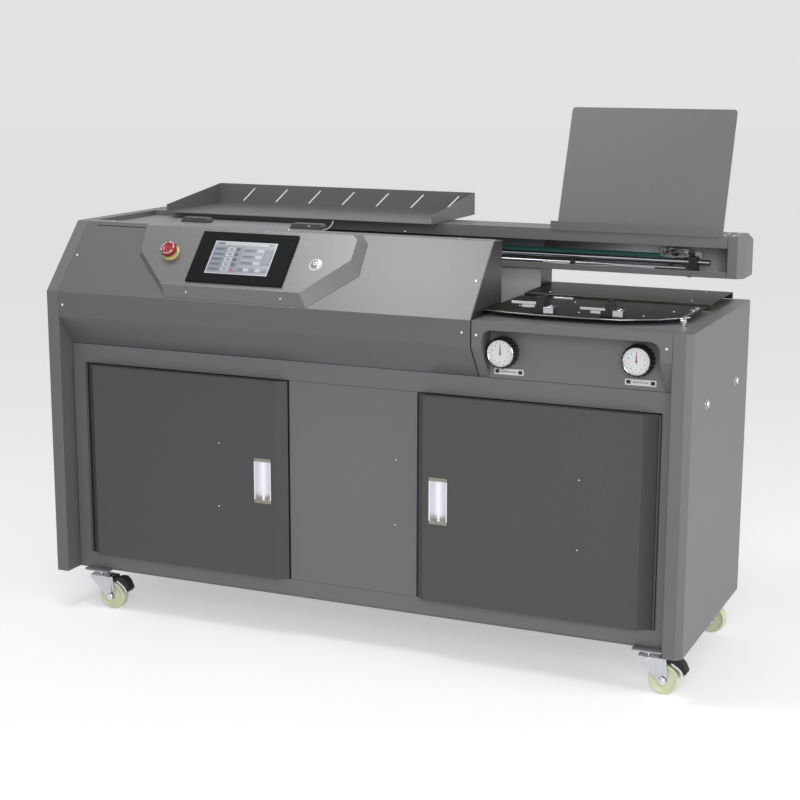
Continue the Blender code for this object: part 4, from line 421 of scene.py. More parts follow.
class Finish:
    """Every finish on the machine by name; some hold painted light or shade, as their comments say."""

    GREY = Paint("mid_grey_coat", (112, 112, 113), "painted_grey")
    HOOD_GREY = Paint("hood_grey_coat", (105, 104, 104), "painted_grey", gloss=0.30, grain=430.0, relief=0.5)
    DOOR_GREY = Paint("dark_grey_coat", (76, 76, 77), "painted_dark_grey", gloss=0.5)
    FRAME_GREY = Paint("frame_grey_coat", (118, 118, 120), "painted_grey", gloss=0.46)
    RECESS_GREY = Paint("recess_grey_coat", (118, 118, 121), "painted_grey", gloss=0.5)
    # Paler than the deck's own paint: painted light that lifts the deck where the tray shades it; the hood's
    # hinge bar shares it
    DECK_GREY = Paint("deck_coat_painted_light", (140, 140, 142), "painted_dark_grey", gloss=0.5)
    # Darker and more olive than bare stainless: painted reflection of the dark surroundings that the tables
    # mirror
    TABLE_STEEL = Steel("table_steel_painted_reflection", (112, 111, 104), "stainless", gloss=0.30,
                        relief=0.08, smear=0.25, edge_tint=0.4)
    # Darker than bare steel: painted shade on the wall's return, whose lit front wears the pale lining
    WALL_STEEL = Steel("wall_steel_painted_shade", (66, 66, 65), "stainless", gloss=0.35, relief=0.12, smear=0.5)
    END_STEEL = Steel("end_plate_steel", (122, 122, 118), "stainless", gloss=0.36, grain=Grain.UPRIGHT,
                      relief=0.2, smear=0.6)
    # Far paler than the bare back wall it stands for: painted light inside the beam's window
    LINER = Paint("pale_liner_painted_light", (226, 227, 230), "painted_grey", gloss=0.62)
    # Paler than the wall's steel: painted light on the wall's front where the hood shades it
    WALL_LINING = Paint("wall_lining_painted_light", (176, 176, 177), "painted_grey", gloss=0.5, relief=0.1)
    # Glossier than the hood by its own finish; its paler tone than the hood's grey is painted sheen
    POD_GREY = Paint("pod_coat_painted_sheen", (120, 119, 118), "painted_grey", gloss=0.26, grain=430.0, relief=0.5)
    # Darker than the mid grey of the other sheets: painted shade inside the tray
    TRAY_GREY = Paint("tray_coat_painted_shade", (103, 103, 105), "painted_grey")
    EDGE_STEEL = Steel("edge_steel", (150, 150, 146), "stainless", gloss=0.22)
    ROD_STEEL = Steel("ground_rod_steel", (188, 190, 194), "bright_steel", gloss=0.09,
                      relief=0.01, smear=0.03)
    CHROME = Steel("chromed_steel", (205, 206, 208), "bright_steel", gloss=0.12, relief=0.02, smear=0.05)
    ZINC = Steel("zinc_plate", (198, 200, 204), "bright_steel", gloss=0.24, grain=Grain.UPRIGHT,
                 relief=0.05, smear=0.25)
    SCREW = Steel("screw_steel", (215, 216, 218), "bright_steel", gloss=0.2, relief=0.02, smear=0.1)
    ALUMINIUM = Steel("milled_aluminium", (165, 166, 168), "aluminium", gloss=0.34, relief=0.12)
    BLACK = Plastic("black_plastic_skin", (24, 24, 25), "black_plastic", gloss=0.42)
    BLACK_GLOSS = Plastic("black_bezel_film", (13, 13, 15), "black_plastic", gloss=0.6, relief=0.02,
                          specular=0.12)
    RUBBER = Plastic("black_rubber", (30, 30, 31), "black_plastic", gloss=0.7, grain=500.0, relief=0.4)
    # Dark strips that paint the shade of grooves and seams
    SHADOW = Plastic("painted_shade_slot", (26, 26, 27), "black_plastic", gloss=0.8)
    RED = Plastic("red_button_skin", (152, 20, 28), "red_plastic", gloss=0.32, relief=0.04, coat=0.2)
    YELLOW = Plastic("yellow_plate", (222, 208, 140), "yellow_plastic", gloss=0.45)
    WHITE = Plastic("white_film", (228, 229, 230), "wheel_tread", relief=0.03)
    DIAL_WHITE = Plastic("dial_face", (236, 237, 238), "wheel_tread", gloss=0.35, relief=0.02, coat=0.3)
    PULL_WHITE = Steel("pull_bright", (236, 236, 240), "bright_steel", gloss=0.3, grain=Grain.UPRIGHT,
                       relief=0.04, smear=0.06)
    PULL_END = Steel("pull_end", (150, 148, 138), "bright_steel", gloss=0.3, relief=0.04)
    WHEEL = Plastic("ivory_nylon", (232, 235, 200), "wheel_tread", gloss=0.46, grain=300.0, relief=0.2)
    BELT = Plastic("green_belt", (36, 92, 86), "belt", gloss=0.6, grain=700.0, relief=0.3)
    WIRE = Plastic("pale_wire", (190, 190, 192), "wheel_tread", gloss=0.35)
    SCREEN = LitDisplay("lit_tiles", "screen_glass")


# Surfaces worked out as whole arrays


def grid_faces(rows: int, cols: int, wrap_rows: bool = False, wrap_cols: bool = False) -> list[list[int]]:
    """Quads of a grid of points: each joins a point with the next along both parameters.

    Args:
        rows: points along the first parameter.
        cols: points along the second.
        wrap_rows: whether the last row joins the first.
        wrap_cols: whether the last column joins the first.

    Returns:
        The faces as lists of indices.
    """
    row, col = np.meshgrid(np.arange(rows - (not wrap_rows)), np.arange(cols - (not wrap_cols)),
                           indexing="ij")
    row_next, col_next = (row + 1) % rows, (col + 1) % cols
    quads = np.stack([row * cols + col, row * cols + col_next, row_next * cols + col_next,
                      row_next * cols + col], -1)
    return quads.reshape(-1, 4).tolist()


def end_faces(rows: int, cols: int) -> list[list[int]]:
    """Faces that close the first and the last row of a grid whose columns wrap."""
    last = (rows - 1) * cols
    return [list(range(cols))[::-1], list(range(last, last + cols))]


def unit(vectors: np.ndarray) -> np.ndarray:
    """Scale each row to length 1."""
    return vectors / np.linalg.norm(vectors, axis=1, keepdims=True)


def joined(*surfaces: Surface) -> Surface:
    """Put several surfaces in one, each keeping its own points."""
    offsets = np.cumsum([0] + [len(points) for points, _ in surfaces])
    points = np.concatenate([points for points, _ in surfaces])
    faces = [[index + int(offset) for index in face]
             for (_, part), offset in zip(surfaces, offsets) for face in part]
    return points, faces


@dataclass(frozen=True)
class Placement:
    """Where a local shape stands: its origin and the directions of its local x and y."""

    origin: Triple
    across: Triple = (1.0, 0.0, 0.0)
    up: Triple = (0.0, 1.0, 0.0)

    def place(self, surface: Surface) -> Surface:
        """Carry a surface from local to machine coordinates: origin plus x across, y up, z outwards."""
        points, faces = surface
        across, up = np.array(self.across), np.array(self.up)
        basis = np.stack([across, up, np.cross(across, up)])
        return points @ basis + np.array(self.origin), faces

    def moved(self, x: float, y: float, out: float = 0.0) -> "Placement":
        """Return the same directions at a point x across, y up and out from the origin."""
        across, up = np.array(self.across), np.array(self.up)
        origin = np.array(self.origin) + x * across + y * up + out * np.cross(across, up)
        return Placement(tuple(origin), self.across, self.up)


FACING_FRONT = ((1.0, 0.0, 0.0), (0.0, 0.0, 1.0))
FACING_RIGHT = ((0.0, 1.0, 0.0), (0.0, 0.0, 1.0))
FACING_REAR = ((-1.0, 0.0, 0.0), (0.0, 0.0, 1.0))
FACING_UP = ((1.0, 0.0, 0.0), (0.0, 1.0, 0.0))
FACING_DOWN = ((1.0, 0.0, 0.0), (0.0, -1.0, 0.0))
SIDEWAYS = Placement((0.0, 0.0, 0.0), *FACING_RIGHT)


def lathe(profile: Sequence[Pair], steps: int, ring: bool = False, flutes: int = 0,
          depth: float = 0.0) -> Surface:
    """Turn a profile round the local z axis.

    Point (i, j) is profile i at angle 2 pi j / steps. With flutes, the radius is drawn in by
    depth times a rounded comb of that many teeth, and only where the profile is at its widest.

    Args:
        profile: radius and height of each point.
        steps: points round the axis.
        ring: whether the profile closes on itself and leaves a hole.
        flutes: grooves round the edge.
        depth: depth of each groove.

    Returns:
        The surface.
    """
    line = np.array(profile, float)
    angle = np.linspace(0, 2 * np.pi, steps, endpoint=False)
    radius = np.repeat(line[:, :1], steps, axis=1)
    if flutes:
        comb = np.clip(np.cos(flutes * angle) * 1.6, -1, 1) * 0.5 + 0.5
        widest = line[:, 0] > line[:, 0].max() - 3 * depth
        radius = radius - depth * comb[None, :] * widest[:, None]
    height = np.repeat(line[:, 1:], steps, axis=1)
    points = np.stack([radius * np.cos(angle), radius * np.sin(angle), height], -1)
    return points.reshape(-1, 3), grid_faces(len(line), steps, wrap_rows=ring, wrap_cols=True)


def extrusion(outline: Sequence[Pair], low: float, high: float) -> Surface:
    """Carry a closed outline straight up from low to high, with a face at both ends."""
    line = np.array(outline, float)
    count = len(line)
    ends = [np.column_stack([line, np.full(count, height)]) for height in (low, high)]
    return np.concatenate(ends), grid_faces(2, count, wrap_cols=True) + end_faces(2, count)


def rectangle(x_low: float, x_high: float, y_low: float, y_high: float, radius: float = 0.0,
              steps: int = 5) -> np.ndarray:
    """Outline of a rectangle whose corners are quarter circles of the given radius."""
    if radius <= 0:
        return np.array([(x_low, y_low), (x_high, y_low), (x_high, y_high), (x_low, y_high)])
    turn = np.linspace(0, np.pi / 2, steps)
    quarters = []
    for index, (x, y) in enumerate(((x_high, y_high), (x_low, y_high), (x_low, y_low), (x_high, y_low))):
        sign_x = -1 if x == x_high else 1
        sign_y = -1 if y == y_high else 1
        angle = turn + index * np.pi / 2
        quarters.append(np.column_stack([x + sign_x * radius + radius * np.cos(angle),
                                         y + sign_y * radius + radius * np.sin(angle)]))
    return np.concatenate(quarters)


def block(size: Triple, centre: Triple = (0.0, 0.0, 0.0), radius: float = 0.0) -> Surface:
    """Extruded rectangle with rounded upright corners, about a centre."""
    x, y, z = centre
    outline = rectangle(x - size[0] / 2, x + size[0] / 2, y - size[1] / 2, y + size[1] / 2, radius=radius)
    return extrusion(outline, z - size[2] / 2, z + size[2] / 2)


def strip(profile: Sequence[Pair], low: object, high: object) -> Surface:
    """Open sheet: a profile in the local x and y, carried along the local z.

    Point (i, j) is profile i at the low end for j = 0 and at the high end for j = 1.

    Args:
        profile: the sheet's fold line.
        low: where the sheet begins, one value or one for each point.
        high: where it ends, likewise.

    Returns:
        The surface.
    """
    line = np.array(profile, float)
    count = len(line)
    ends = [np.column_stack([line, np.broadcast_to(np.asarray(end, float), count)]) for end in (low, high)]
    return np.stack(ends, 1).reshape(-1, 3), grid_faces(count, 2)


def pan(profile: Sequence[Pair], levels: Sequence[float], window: int) -> Surface:
    """Open folded pan: a profile in the local x and y at several heights, closed at both ends.

    Args:
        profile: section of the pan, open at its back.
        levels: heights of the section along the local z.
        window: index of the face that is left out.

    Returns:
        The surface.
    """
    line = np.array(profile, float)
    count = len(line)
    points = np.concatenate([np.column_stack([line, np.full(count, level)]) for level in levels])
    faces = grid_faces(len(levels), count)
    del faces[window]
    return points, faces + end_faces(len(levels), count)


def plate_with_window(xs: Sequence[float], ys: Sequence[float], low: float, high: float) -> Surface:
    """Rectangular plate with a rectangular window: a grid of four by four points without its middle cell.

    Args:
        xs: left edge, left and right edge of the window, right edge.
        ys: the same from bottom to top.
        low: height of the back face.
        high: height of the front face.

    Returns:
        The surface.
    """
    across, up = np.meshgrid(xs, ys)
    count = across.size
    layers = [np.column_stack([across.ravel(), up.ravel(), np.full(count, level)]) for level in (low, high)]
    sides = grid_faces(4, 4)
    del sides[len(sides) // 2]
    faces = [face[::-1] for face in sides] + [[index + count for index in face] for face in sides]
    for ring in ((0, 1, 2, 3, 7, 11, 15, 14, 13, 12, 8, 4), (5, 9, 10, 6)):
        faces += [[first, second, second + count, first + count]
                  for first, second in zip(ring, ring[1:] + ring[:1])]
    return np.concatenate(layers), faces


def sweep(path: np.ndarray, section: Sequence[Pair], normal: Triple) -> Surface:
    """Carry a closed section along a path that lies in one plane.

    Point (i, j) is path i, plus section j's first number times the side direction (normal x
    tangent), plus its second times the normal. At a corner the side direction is the mitre's.

    Args:
        path: points of the path.
        section: outline of the section.
        normal: normal of the path's plane.

    Returns:
        The surface, with a face at both ends.
    """
    up = np.array(normal, float)
    steps = unit(np.diff(path, axis=0))
    ahead, behind = np.concatenate([steps, steps[-1:]]), np.concatenate([steps[:1], steps])
    tangent = unit(ahead + behind)
    stretch = 1 / np.clip(np.sum(tangent * ahead, axis=1), 0.35, 1.0)
    side = np.cross(up, tangent) * stretch[:, None]
    outline = np.array(section, float)
    points = (path[:, None, :] + outline[None, :, :1] * side[:, None, :] + outline[None, :, 1:] * up)
    count = len(outline)
    faces = grid_faces(len(path), count, wrap_cols=True) + end_faces(len(path), count)
    return points.reshape(-1, 3), faces


def tube(path: Sequence[Triple], radius: float, reference: Triple = (0.0, 0.0, 1.0),
         sides: int = 8) -> Surface:
    """Round tube along a path: circle i of the radius round point i, square to the path there.

    Args:
        path: points of the path.
        radius: radius of the tube.
        reference: a direction that the path never runs along.
        sides: points round the tube.

    Returns:
        The surface.
    """
    line = np.array(path, float)
    tangent = unit(np.gradient(line, axis=0))
    side = unit(np.cross(tangent, np.array(reference)))
    over = np.cross(side, tangent)
    angle = np.linspace(0, 2 * np.pi, sides, endpoint=False)[None, :, None]
    circle = radius * (np.cos(angle) * side[:, None] + np.sin(angle) * over[:, None])
    faces = grid_faces(len(line), sides, wrap_cols=True) + end_faces(len(line), sides)
    return (line[:, None] + circle).reshape(-1, 3), faces


def smooth_path(knots: Sequence[Triple], count: int) -> np.ndarray:
    """Points on a smooth curve through the knots, each axis a cubic Hermite curve of the knots' index."""
    line = np.array(knots, float)
    slope = np.gradient(line, axis=0)
    place = np.linspace(0, len(line) - 1, count)
    index = np.minimum(place.astype(int), len(line) - 2)
    t = (place - index)[:, None]
    start, end, first, second = line[index], line[index + 1], slope[index], slope[index + 1]
    return ((2 * t ** 3 - 3 * t ** 2 + 1) * start + (t ** 3 - 2 * t ** 2 + t) * first
            + (-2 * t ** 3 + 3 * t ** 2) * end + (t ** 3 - t ** 2) * second)


def polygon_head(rings: Sequence[Triple], radius: float, height: float, steps: int) -> Surface:
    """Screw or bolt head of rings, some round and some hexagonal.

    Ring i has the radius times its first number, and the height times its second. Where its third
    number is 1, the radius is also times cos(30) / cos(angle from the middle of the flat).

    Args:
        rings: share of the radius, share of the height, and 0 for round or 1 for hexagonal.
        radius: radius of a ring with share 1.
        height: height of a ring with share 1.
        steps: points round the head.

    Returns:
        The surface, closed underneath.
    """
    table = np.array(rings)
    angle = np.linspace(0, 2 * np.pi, steps, endpoint=False)
    wedge = np.mod(angle, np.pi / 3) - np.pi / 6
    flat = math.cos(math.pi / 6) / np.cos(wedge)
    reach = radius * table[:, :1] * np.where(table[:, 2:] > 0, flat[None, :], 1.0)
    tall = np.repeat(table[:, 1:2] * height, steps, axis=1)
    points = np.stack([reach * np.cos(angle), reach * np.sin(angle), tall], -1)
    return points.reshape(-1, 3), grid_faces(len(table), steps, wrap_cols=True) + end_faces(1, steps)[:1]


def socket_screw(radius: float, height: float) -> Surface:
    """Button screw head with a hexagon socket."""
    return polygon_head(((1.0, 0.0, 0), (1.0, 0.25, 0), (0.93, 0.6, 0), (0.78, 0.9, 0), (0.6, 1.0, 0),
                         (0.45, 1.0, 1), (0.45, 0.35, 1), (0.0, 0.35, 1)), radius, height, 24)


def hex_head(radius: float, height: float, flange: float) -> Surface:
    """Hexagon bolt head on a round flange, whose radius is a share of the head's."""
    return polygon_head(((flange, 0.0, 0), (flange, 0.22, 0), (flange * 0.93, 0.3, 0), (1.02, 0.32, 1),
                         (1.0, 0.86, 1), (0.9, 1.0, 1), (0.0, 1.0, 1)), radius, height, 36)


def lettering(text: str, size: float, depth: float) -> Surface:
    """Outline of a few characters as a thin solid, centred on the local origin."""
    curve = bpy.data.curves.new("characters", "FONT")
    curve.body = text
    curve.size = size
    curve.extrude = depth
    curve.align_x = "CENTER"
    curve.align_y = "CENTER"
    holder = bpy.data.objects.new("characters", curve)
    mesh = bpy.data.meshes.new_from_object(holder)
    points = np.zeros(len(mesh.vertices) * 3)
    mesh.vertices.foreach_get("co", points)
    faces = [list(polygon.vertices) for polygon in mesh.polygons]
    bpy.data.objects.remove(holder)
    bpy.data.curves.remove(curve)
    bpy.data.meshes.remove(mesh)
    return points.reshape(-1, 3), faces


# Making and dressing pieces


def mesh_of(name: str, surface: Surface) -> bpy.types.Mesh:
    """Mesh of a surface, with equal points merged and its faces turned outwards."""
    points, faces = surface
    mesh = bpy.data.meshes.new(name)
    mesh.from_pydata(points.tolist(), [], faces)
    work = bmesh.new()
    work.from_mesh(mesh)
    bmesh.ops.remove_doubles(work, verts=work.verts, dist=MERGE_DISTANCE)
    bmesh.ops.recalc_face_normals(work, faces=work.faces)
    work.to_mesh(mesh)
    work.free()
    return mesh


def put(name: str, surface: Surface, finish: object, body: str, replaces: Sequence[str] = (),
        edge: float = 0.0, angle: float = 32.0, sheet: float = 0.0) -> bpy.types.Object:
    """Make one finished piece of a surface in machine coordinates and let it ride on its body.

    Args:
        name: name of the piece.
        surface: points in the machine's frame, and faces.
        finish: a finish, which gives the material.
        body: name of the CAD body that carries it.
        replaces: CAD nodes that it stands for.
        edge: width of a rounded edge, or 0 for none.
        angle: edges sharper than this many degrees stay sharp.
        sheet: thickness that an open sheet gets on its inner side, or 0 for a closed surface.

    Returns:
        The piece.
    """
    points, faces = surface
    packed = points + np.array([0.0, FRONT, 0.0])
    piece = bpy.data.objects.new(name, mesh_of(name, (packed, faces)))
    return finished(piece, finish, body, replaces, edge, angle, sheet)


def finished(piece: bpy.types.Object, finish: object, body: str, replaces: Sequence[str], edge: float,
             angle: float, sheet: float = 0.0) -> bpy.types.Object:
    """Link a piece, shade it, round its edges, give it its material and let it ride.

    Args:
        piece: the piece's object.
        finish: a finish.
        body: name of the CAD body that carries it.
        replaces: CAD nodes that it stands for.
        edge: width of a rounded edge, or 0 for none.
        angle: edges sharper than this many degrees stay sharp.
        sheet: thickness that an open sheet gets on its inner side, or 0.

    Returns:
        The piece.
    """
    bpy.context.scene.collection.objects.link(piece)
    mesh = piece.data
    mesh.materials.clear()
    mesh.materials.append(finish.material())
    mesh.polygons.foreach_set("use_smooth", np.ones(len(mesh.polygons), bool))
    if sheet:
        skin = piece.modifiers.new("sheet_thickness", "SOLIDIFY")
        skin.thickness = sheet
        skin.offset = -1.0
        skin.use_even_offset = True
    if edge:
        bevel = piece.modifiers.new("rounded_edges", "BEVEL")
        bevel.width = edge
        bevel.segments = 2
        bevel.limit_method = "ANGLE"
        bevel.angle_limit = math.radians(angle)
        piece.modifiers.new("even_faces", "WEIGHTED_NORMAL")
    else:
        mesh.set_sharp_from_angle(angle=math.radians(angle))
    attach(piece, body)
    if replaces:
        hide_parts(*replaces)
    LOG.info("%s rides on %s", piece.name, body)
    return piece


def body_holding(node: str) -> str:
    """Name of the body that carries a CAD node."""
    return frame["nodes"][node]["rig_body"]


def refined(node: str, finish: object, edge: float = 0.0008, angle: float = 28.0) -> bpy.types.Object:
    """Stand a cleaned copy with softly rounded edges in for a CAD node.

    Args:
        node: name of the CAD node.
        finish: its finish.
        edge: width of the rounded edges.
        angle: edges flatter than this many degrees are left alone.

    Returns:
        The piece.
    """
    mesh = frame["nodes"][node].data.copy()
    work = bmesh.new()
    work.from_mesh(mesh)
    bmesh.ops.remove_doubles(work, verts=work.verts, dist=CAD_MERGE_DISTANCE)
    bmesh.ops.dissolve_limit(work, angle_limit=FLAT_ANGLE, verts=work.verts, edges=work.edges)
    work.to_mesh(mesh)
    work.free()
    for layer in list(mesh.attributes):
        if layer.name in ("custom_normal", "sharp_edge"):
            mesh.attributes.remove(layer)
    piece = bpy.data.objects.new(node + "_finished", mesh)
    return finished(piece, finish, body_holding(node), [node], edge, angle)


def centre_of(node: str) -> Triple:
    """Middle of a CAD node's box in the machine's frame."""
    low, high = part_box(node)
    middle = (low + high) / 2
    return (middle.x, middle.y - FRONT, middle.z)


def span_of(node: str) -> tuple[Triple, Triple]:
    """Lowest and highest corner of a CAD node in the machine's frame."""
    low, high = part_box(node)
    return (low.x, low.y - FRONT, low.z), (high.x, high.y - FRONT, high.z)


class Screw(Enum):
    """Radius and height of each kind of button screw."""

    DOT = (0.0016, 0.0006)
    CAP = (0.0022, 0.0012)
    TABLE = (0.0024, 0.0010)
    POD = (0.0024, 0.0014)
    DECK = (0.0026, 0.0014)
    HOOD = (0.0028, 0.0016)
    FASCIA = (0.0030, 0.0016)


def spots(points: Iterable[Triple], facing: tuple[Triple, Triple]) -> list[Placement]:
    """Places that share one direction."""
    return [Placement(point, *facing) for point in points]


def copies(part: Surface, places: Iterable[Placement]) -> Surface:
    """One surface of equal parts, one at each place."""
    return joined(*(place.place(part) for place in places))


def screws(name: str, kind: Screw, places: Iterable[Placement], body: str) -> None:
    """Put a set of screws on a body, one at each place."""
    put(name, copies(socket_screw(*kind.value), places), Finish.SCREW, body)


def on_circle(radius: float, angles: Sequence[float]) -> np.ndarray:
    """Points at the given angles on a circle round the origin."""
    return radius * np.column_stack([np.cos(angles), np.sin(angles)])


@dataclass
class SubAssembly:
    """A part of the machine: CAD nodes to refine, with finish and edge width, and details of its own."""

    coats: dict[str, tuple[object, float]] = field(default_factory=dict)

    def dress(self) -> None:
        """Refine the CAD nodes and add the details."""
        for node, (finish, edge) in self.coats.items():
            refined(node, finish, edge)
        self.details()

    def details(self) -> None:
        """Add the pieces that the CAD frame leaves to the looks."""


# Sub-assemblies


@dataclass
class Cabinet(SubAssembly):
    """Side panels, base, front frame and back."""

    # Radius, height, and the flange's share of the radius
    bolt: Triple = (0.0080, 0.0060, 1.25)
    bolts: Sequence[Pair] = ((0.126, 0.582), (0.383, 0.583))
    panel_dots: Sequence[Triple] = ((0.098, 0.050, 0.423), (0.096, 0.050, 0.281))
    frame_depth: float = 0.020
    coats: dict = field(default_factory=lambda: {
        "left_side_panel": (Finish.GREY, 0.0006), "right_side_panel": (Finish.GREY, 0.0006),
        "back_panel": (Finish.GREY, 0.0006), "machine_bed": (Finish.ALUMINIUM, 0.0005)})
    ears: Sequence[Pair] = ((-0.676, -0.616), (0.622, 0.682))
    pan_sheet: float = 0.003
    opening_x: Pair = (-0.6661, 0.6631)
    opening_z: Pair = (0.129, 0.572)
    middle_x: Pair = (-0.1521, 0.1451)
    middle_flange: float = 0.012
    middle_sheet: float = 0.0015
    hinge_axes: Pair = (-0.6632, 0.6602)
    hinge_y: float = 0.0472
    hinge_radius: float = 0.0029
    hinge_z: Pair = (0.1315, 0.5695)
    knuckles: int = 9
    # Width at the surface, and depth
    groove: Pair = (0.0006, 0.0005)
    leaf_sheet: float = 0.002
    leaf_back: float = 0.060

    def details(self) -> None:
        """Front frame, hinges and base, bolts on the right side, and screws on the middle panel."""
        self.front_frame()
        self.hinges()
        self.base()
        side = span_of("right_side_panel")[1][0]
        places = spots(((side, y, z) for y, z in self.bolts), FACING_RIGHT)
        put("side_bolts", copies(hex_head(*self.bolt), places), Finish.SCREW, "machine")
        screws("panel_screws", Screw.DOT, spots(self.panel_dots, FACING_FRONT), "machine")

    def front_frame(self) -> None:
        """Frame round one wide opening, and the folded panel that stands in its middle."""
        low, high = span_of("face_frame")
        front, back = high[1] - self.frame_depth, high[1] - self.middle_sheet
        plate = plate_with_window((low[0], *self.opening_x, high[0]), (low[2], *self.opening_z, high[2]),
                                  front - high[1], 0.0)
        put("front_frame", Placement((0.0, front, 0.0), *FACING_FRONT).place(plate), Finish.FRAME_GREY,
            "machine", ["face_frame"], edge=0.0007)
        left, right = self.middle_x
        fold = ((left - self.middle_flange, back), (left, back), (left, front), (right, front), (right, back),
                (right + self.middle_flange, back))
        bottom, top = self.opening_z
        put("middle_panel", strip(fold, bottom + SEAT_GAP, top - SEAT_GAP), Finish.FRAME_GREY, "machine",
            edge=0.0005, sheet=self.middle_sheet)

    def hinges(self) -> None:
        """Leaf and barrel of both door hinges, the barrel with a groove between its knuckles."""
        bottom, top = self.hinge_z
        radius = self.hinge_radius
        width, depth = self.groove
        line = [(0.0, bottom), (radius, bottom)]
        for height in np.linspace(bottom, top, self.knuckles + 1)[1:-1]:
            line += [(radius, height - width), (radius - depth, height - width / 2),
                     (radius - depth, height + width / 2), (radius, height + width)]
        line += [(radius, top), (0.0, top)]
        pieces = []
        for axis, edge, side in zip(self.hinge_axes, self.opening_x, (1, -1)):
            pieces.append(Placement((axis, self.hinge_y, 0.0), *FACING_UP).place(lathe(line, 24)))
            across = sorted((edge, edge + side * self.leaf_sheet))
            pieces.append(extrusion(rectangle(*across, self.hinge_y, self.leaf_back), bottom, top))
        put("door_hinges", joined(*pieces), Finish.DOOR_GREY, "machine", angle=40.0)

    def base(self) -> None:
        """Bottom plate, whose two ears reach forward over the front casters, with an upright rim."""
        low, high = span_of("base_pan")
        front, back, sheet = span_of("face_frame")[1][1] - self.frame_depth, high[1], self.pan_sheet
        outline = [(low[0], front)]
        for left, right in self.ears:
            outline += [(left, front), (left, low[1]), (right, low[1]), (right, front)]
        outline += [(high[0], front), (high[0], back), (low[0], back)]
        inside = front + self.frame_depth + SEAT_GAP
        rim = plate_with_window((low[0], low[0] + sheet, high[0] - sheet, high[0]),
                                (inside, inside + sheet, back - sheet, back), low[2] + sheet / 2, high[2])
        put("base_with_ears", joined(extrusion(outline, low[2], low[2] + sheet), rim), Finish.FRAME_GREY,
            "machine", ["base_pan"], edge=0.0005)


@dataclass
class Doors(SubAssembly):
    """Two doors with bright recessed pulls."""

    rim: float = 0.0030
    end_cap: float = 0.0075
    cup_gap: float = 0.0027
    skin: float = 0.0025
    pull_lip: float = 0.0012
    pull_sheet: float = 0.0008
    pull_corner: float = 0.002
    cup_clearance: float = 0.001
    door_z: Pair = (0.1305, 0.5705)
    plans: dict = field(default_factory=lambda: {
        "left_door": (-0.6600, -0.6366, -0.1734, -0.1556), "right_door": (0.1486, 0.1664, 0.6296, 0.6570)})
    dots: dict = field(default_factory=lambda: {
        "left_door": ((-0.315, 0.423), (-0.318, 0.281)), "right_door": ((0.504, 0.4265), (0.503, 0.2815))})

    def details(self) -> None:
        """Pan and pull of each door, and its small screws."""
        for side in LEFT_AND_RIGHT:
            self.leaf(side)
            self.pull(side)
            door = side + "_door"
            front = span_of(door)[0][1]
            places = spots(((x, front, z) for x, z in self.dots[door]), FACING_FRONT)
            screws(door + "_screws", Screw.DOT, places, door)

    def leaf(self, side: str) -> None:
        """Folded door pan with bevelled sides and a window for its pull."""
        door = side + "_door"
        low, high = span_of(door)
        cup_low, cup_high = span_of(door + "_handle")
        left, flat_left, flat_right, right = self.plans[door]
        section = ((left, high[1]), (flat_left, low[1]), (cup_low[0] + self.cup_gap, low[1]),
                   (cup_high[0] - self.cup_gap, low[1]), (flat_right, low[1]), (right, high[1]))
        levels = (self.door_z[0], cup_low[2] + self.cup_gap, cup_high[2] - self.cup_gap, self.door_z[1])
        put(door + "_pan", pan(section, levels, 7), Finish.DOOR_GREY, body_holding(door), [door],
            edge=0.0012, angle=28.0, sheet=self.skin)

    def pull(self, side: str) -> None:
        """Recessed pull: a bright frame with a curved trough, and a darker cap at both ends.

        The trough's depth over the width is half a sine wave raised to 0.7, carried upright
        from one end cap to the other.
        """
        node = side + "_door_handle"
        low, high = span_of(node)
        half = (high[0] - low[0]) / 2
        front = Placement(((low[0] + high[0]) / 2, low[1], 0.0), *FACING_FRONT)
        depth = high[1] - low[1] - self.cup_clearance
        share = np.linspace(-1, 1, 25)
        inner = half - self.rim
        trough = -(depth * np.cos(share * np.pi / 2) ** 0.7)
        outline = np.concatenate([[(-half, -self.pull_lip), (-half, 0.0)],
                                  np.column_stack([share * inner, trough]),
                                  [(half, 0.0), (half, -self.pull_lip)],
                                  np.column_stack([share[::-1] * inner, trough[::-1] - self.pull_sheet])])
        across, out = outline.T
        count = len(outline)
        bottom, top = low[2] + self.end_cap, high[2] - self.end_cap
        points = np.concatenate([np.column_stack([across, np.full(count, z), out]) for z in (bottom, top)])
        faces = grid_faces(2, count, wrap_cols=True) + end_faces(2, count)
        put(side + "_pull_trough", front.place((points, faces)), Finish.PULL_WHITE, body_holding(node),
            [node])
        caps = [extrusion(rectangle(-half, half, *ends, self.pull_corner), -depth, 0.0)
                for ends in ((low[2], bottom), (top, high[2]))]
        put(side + "_pull_caps", front.place(joined(*caps)), Finish.PULL_END, body_holding(node), edge=0.0006)


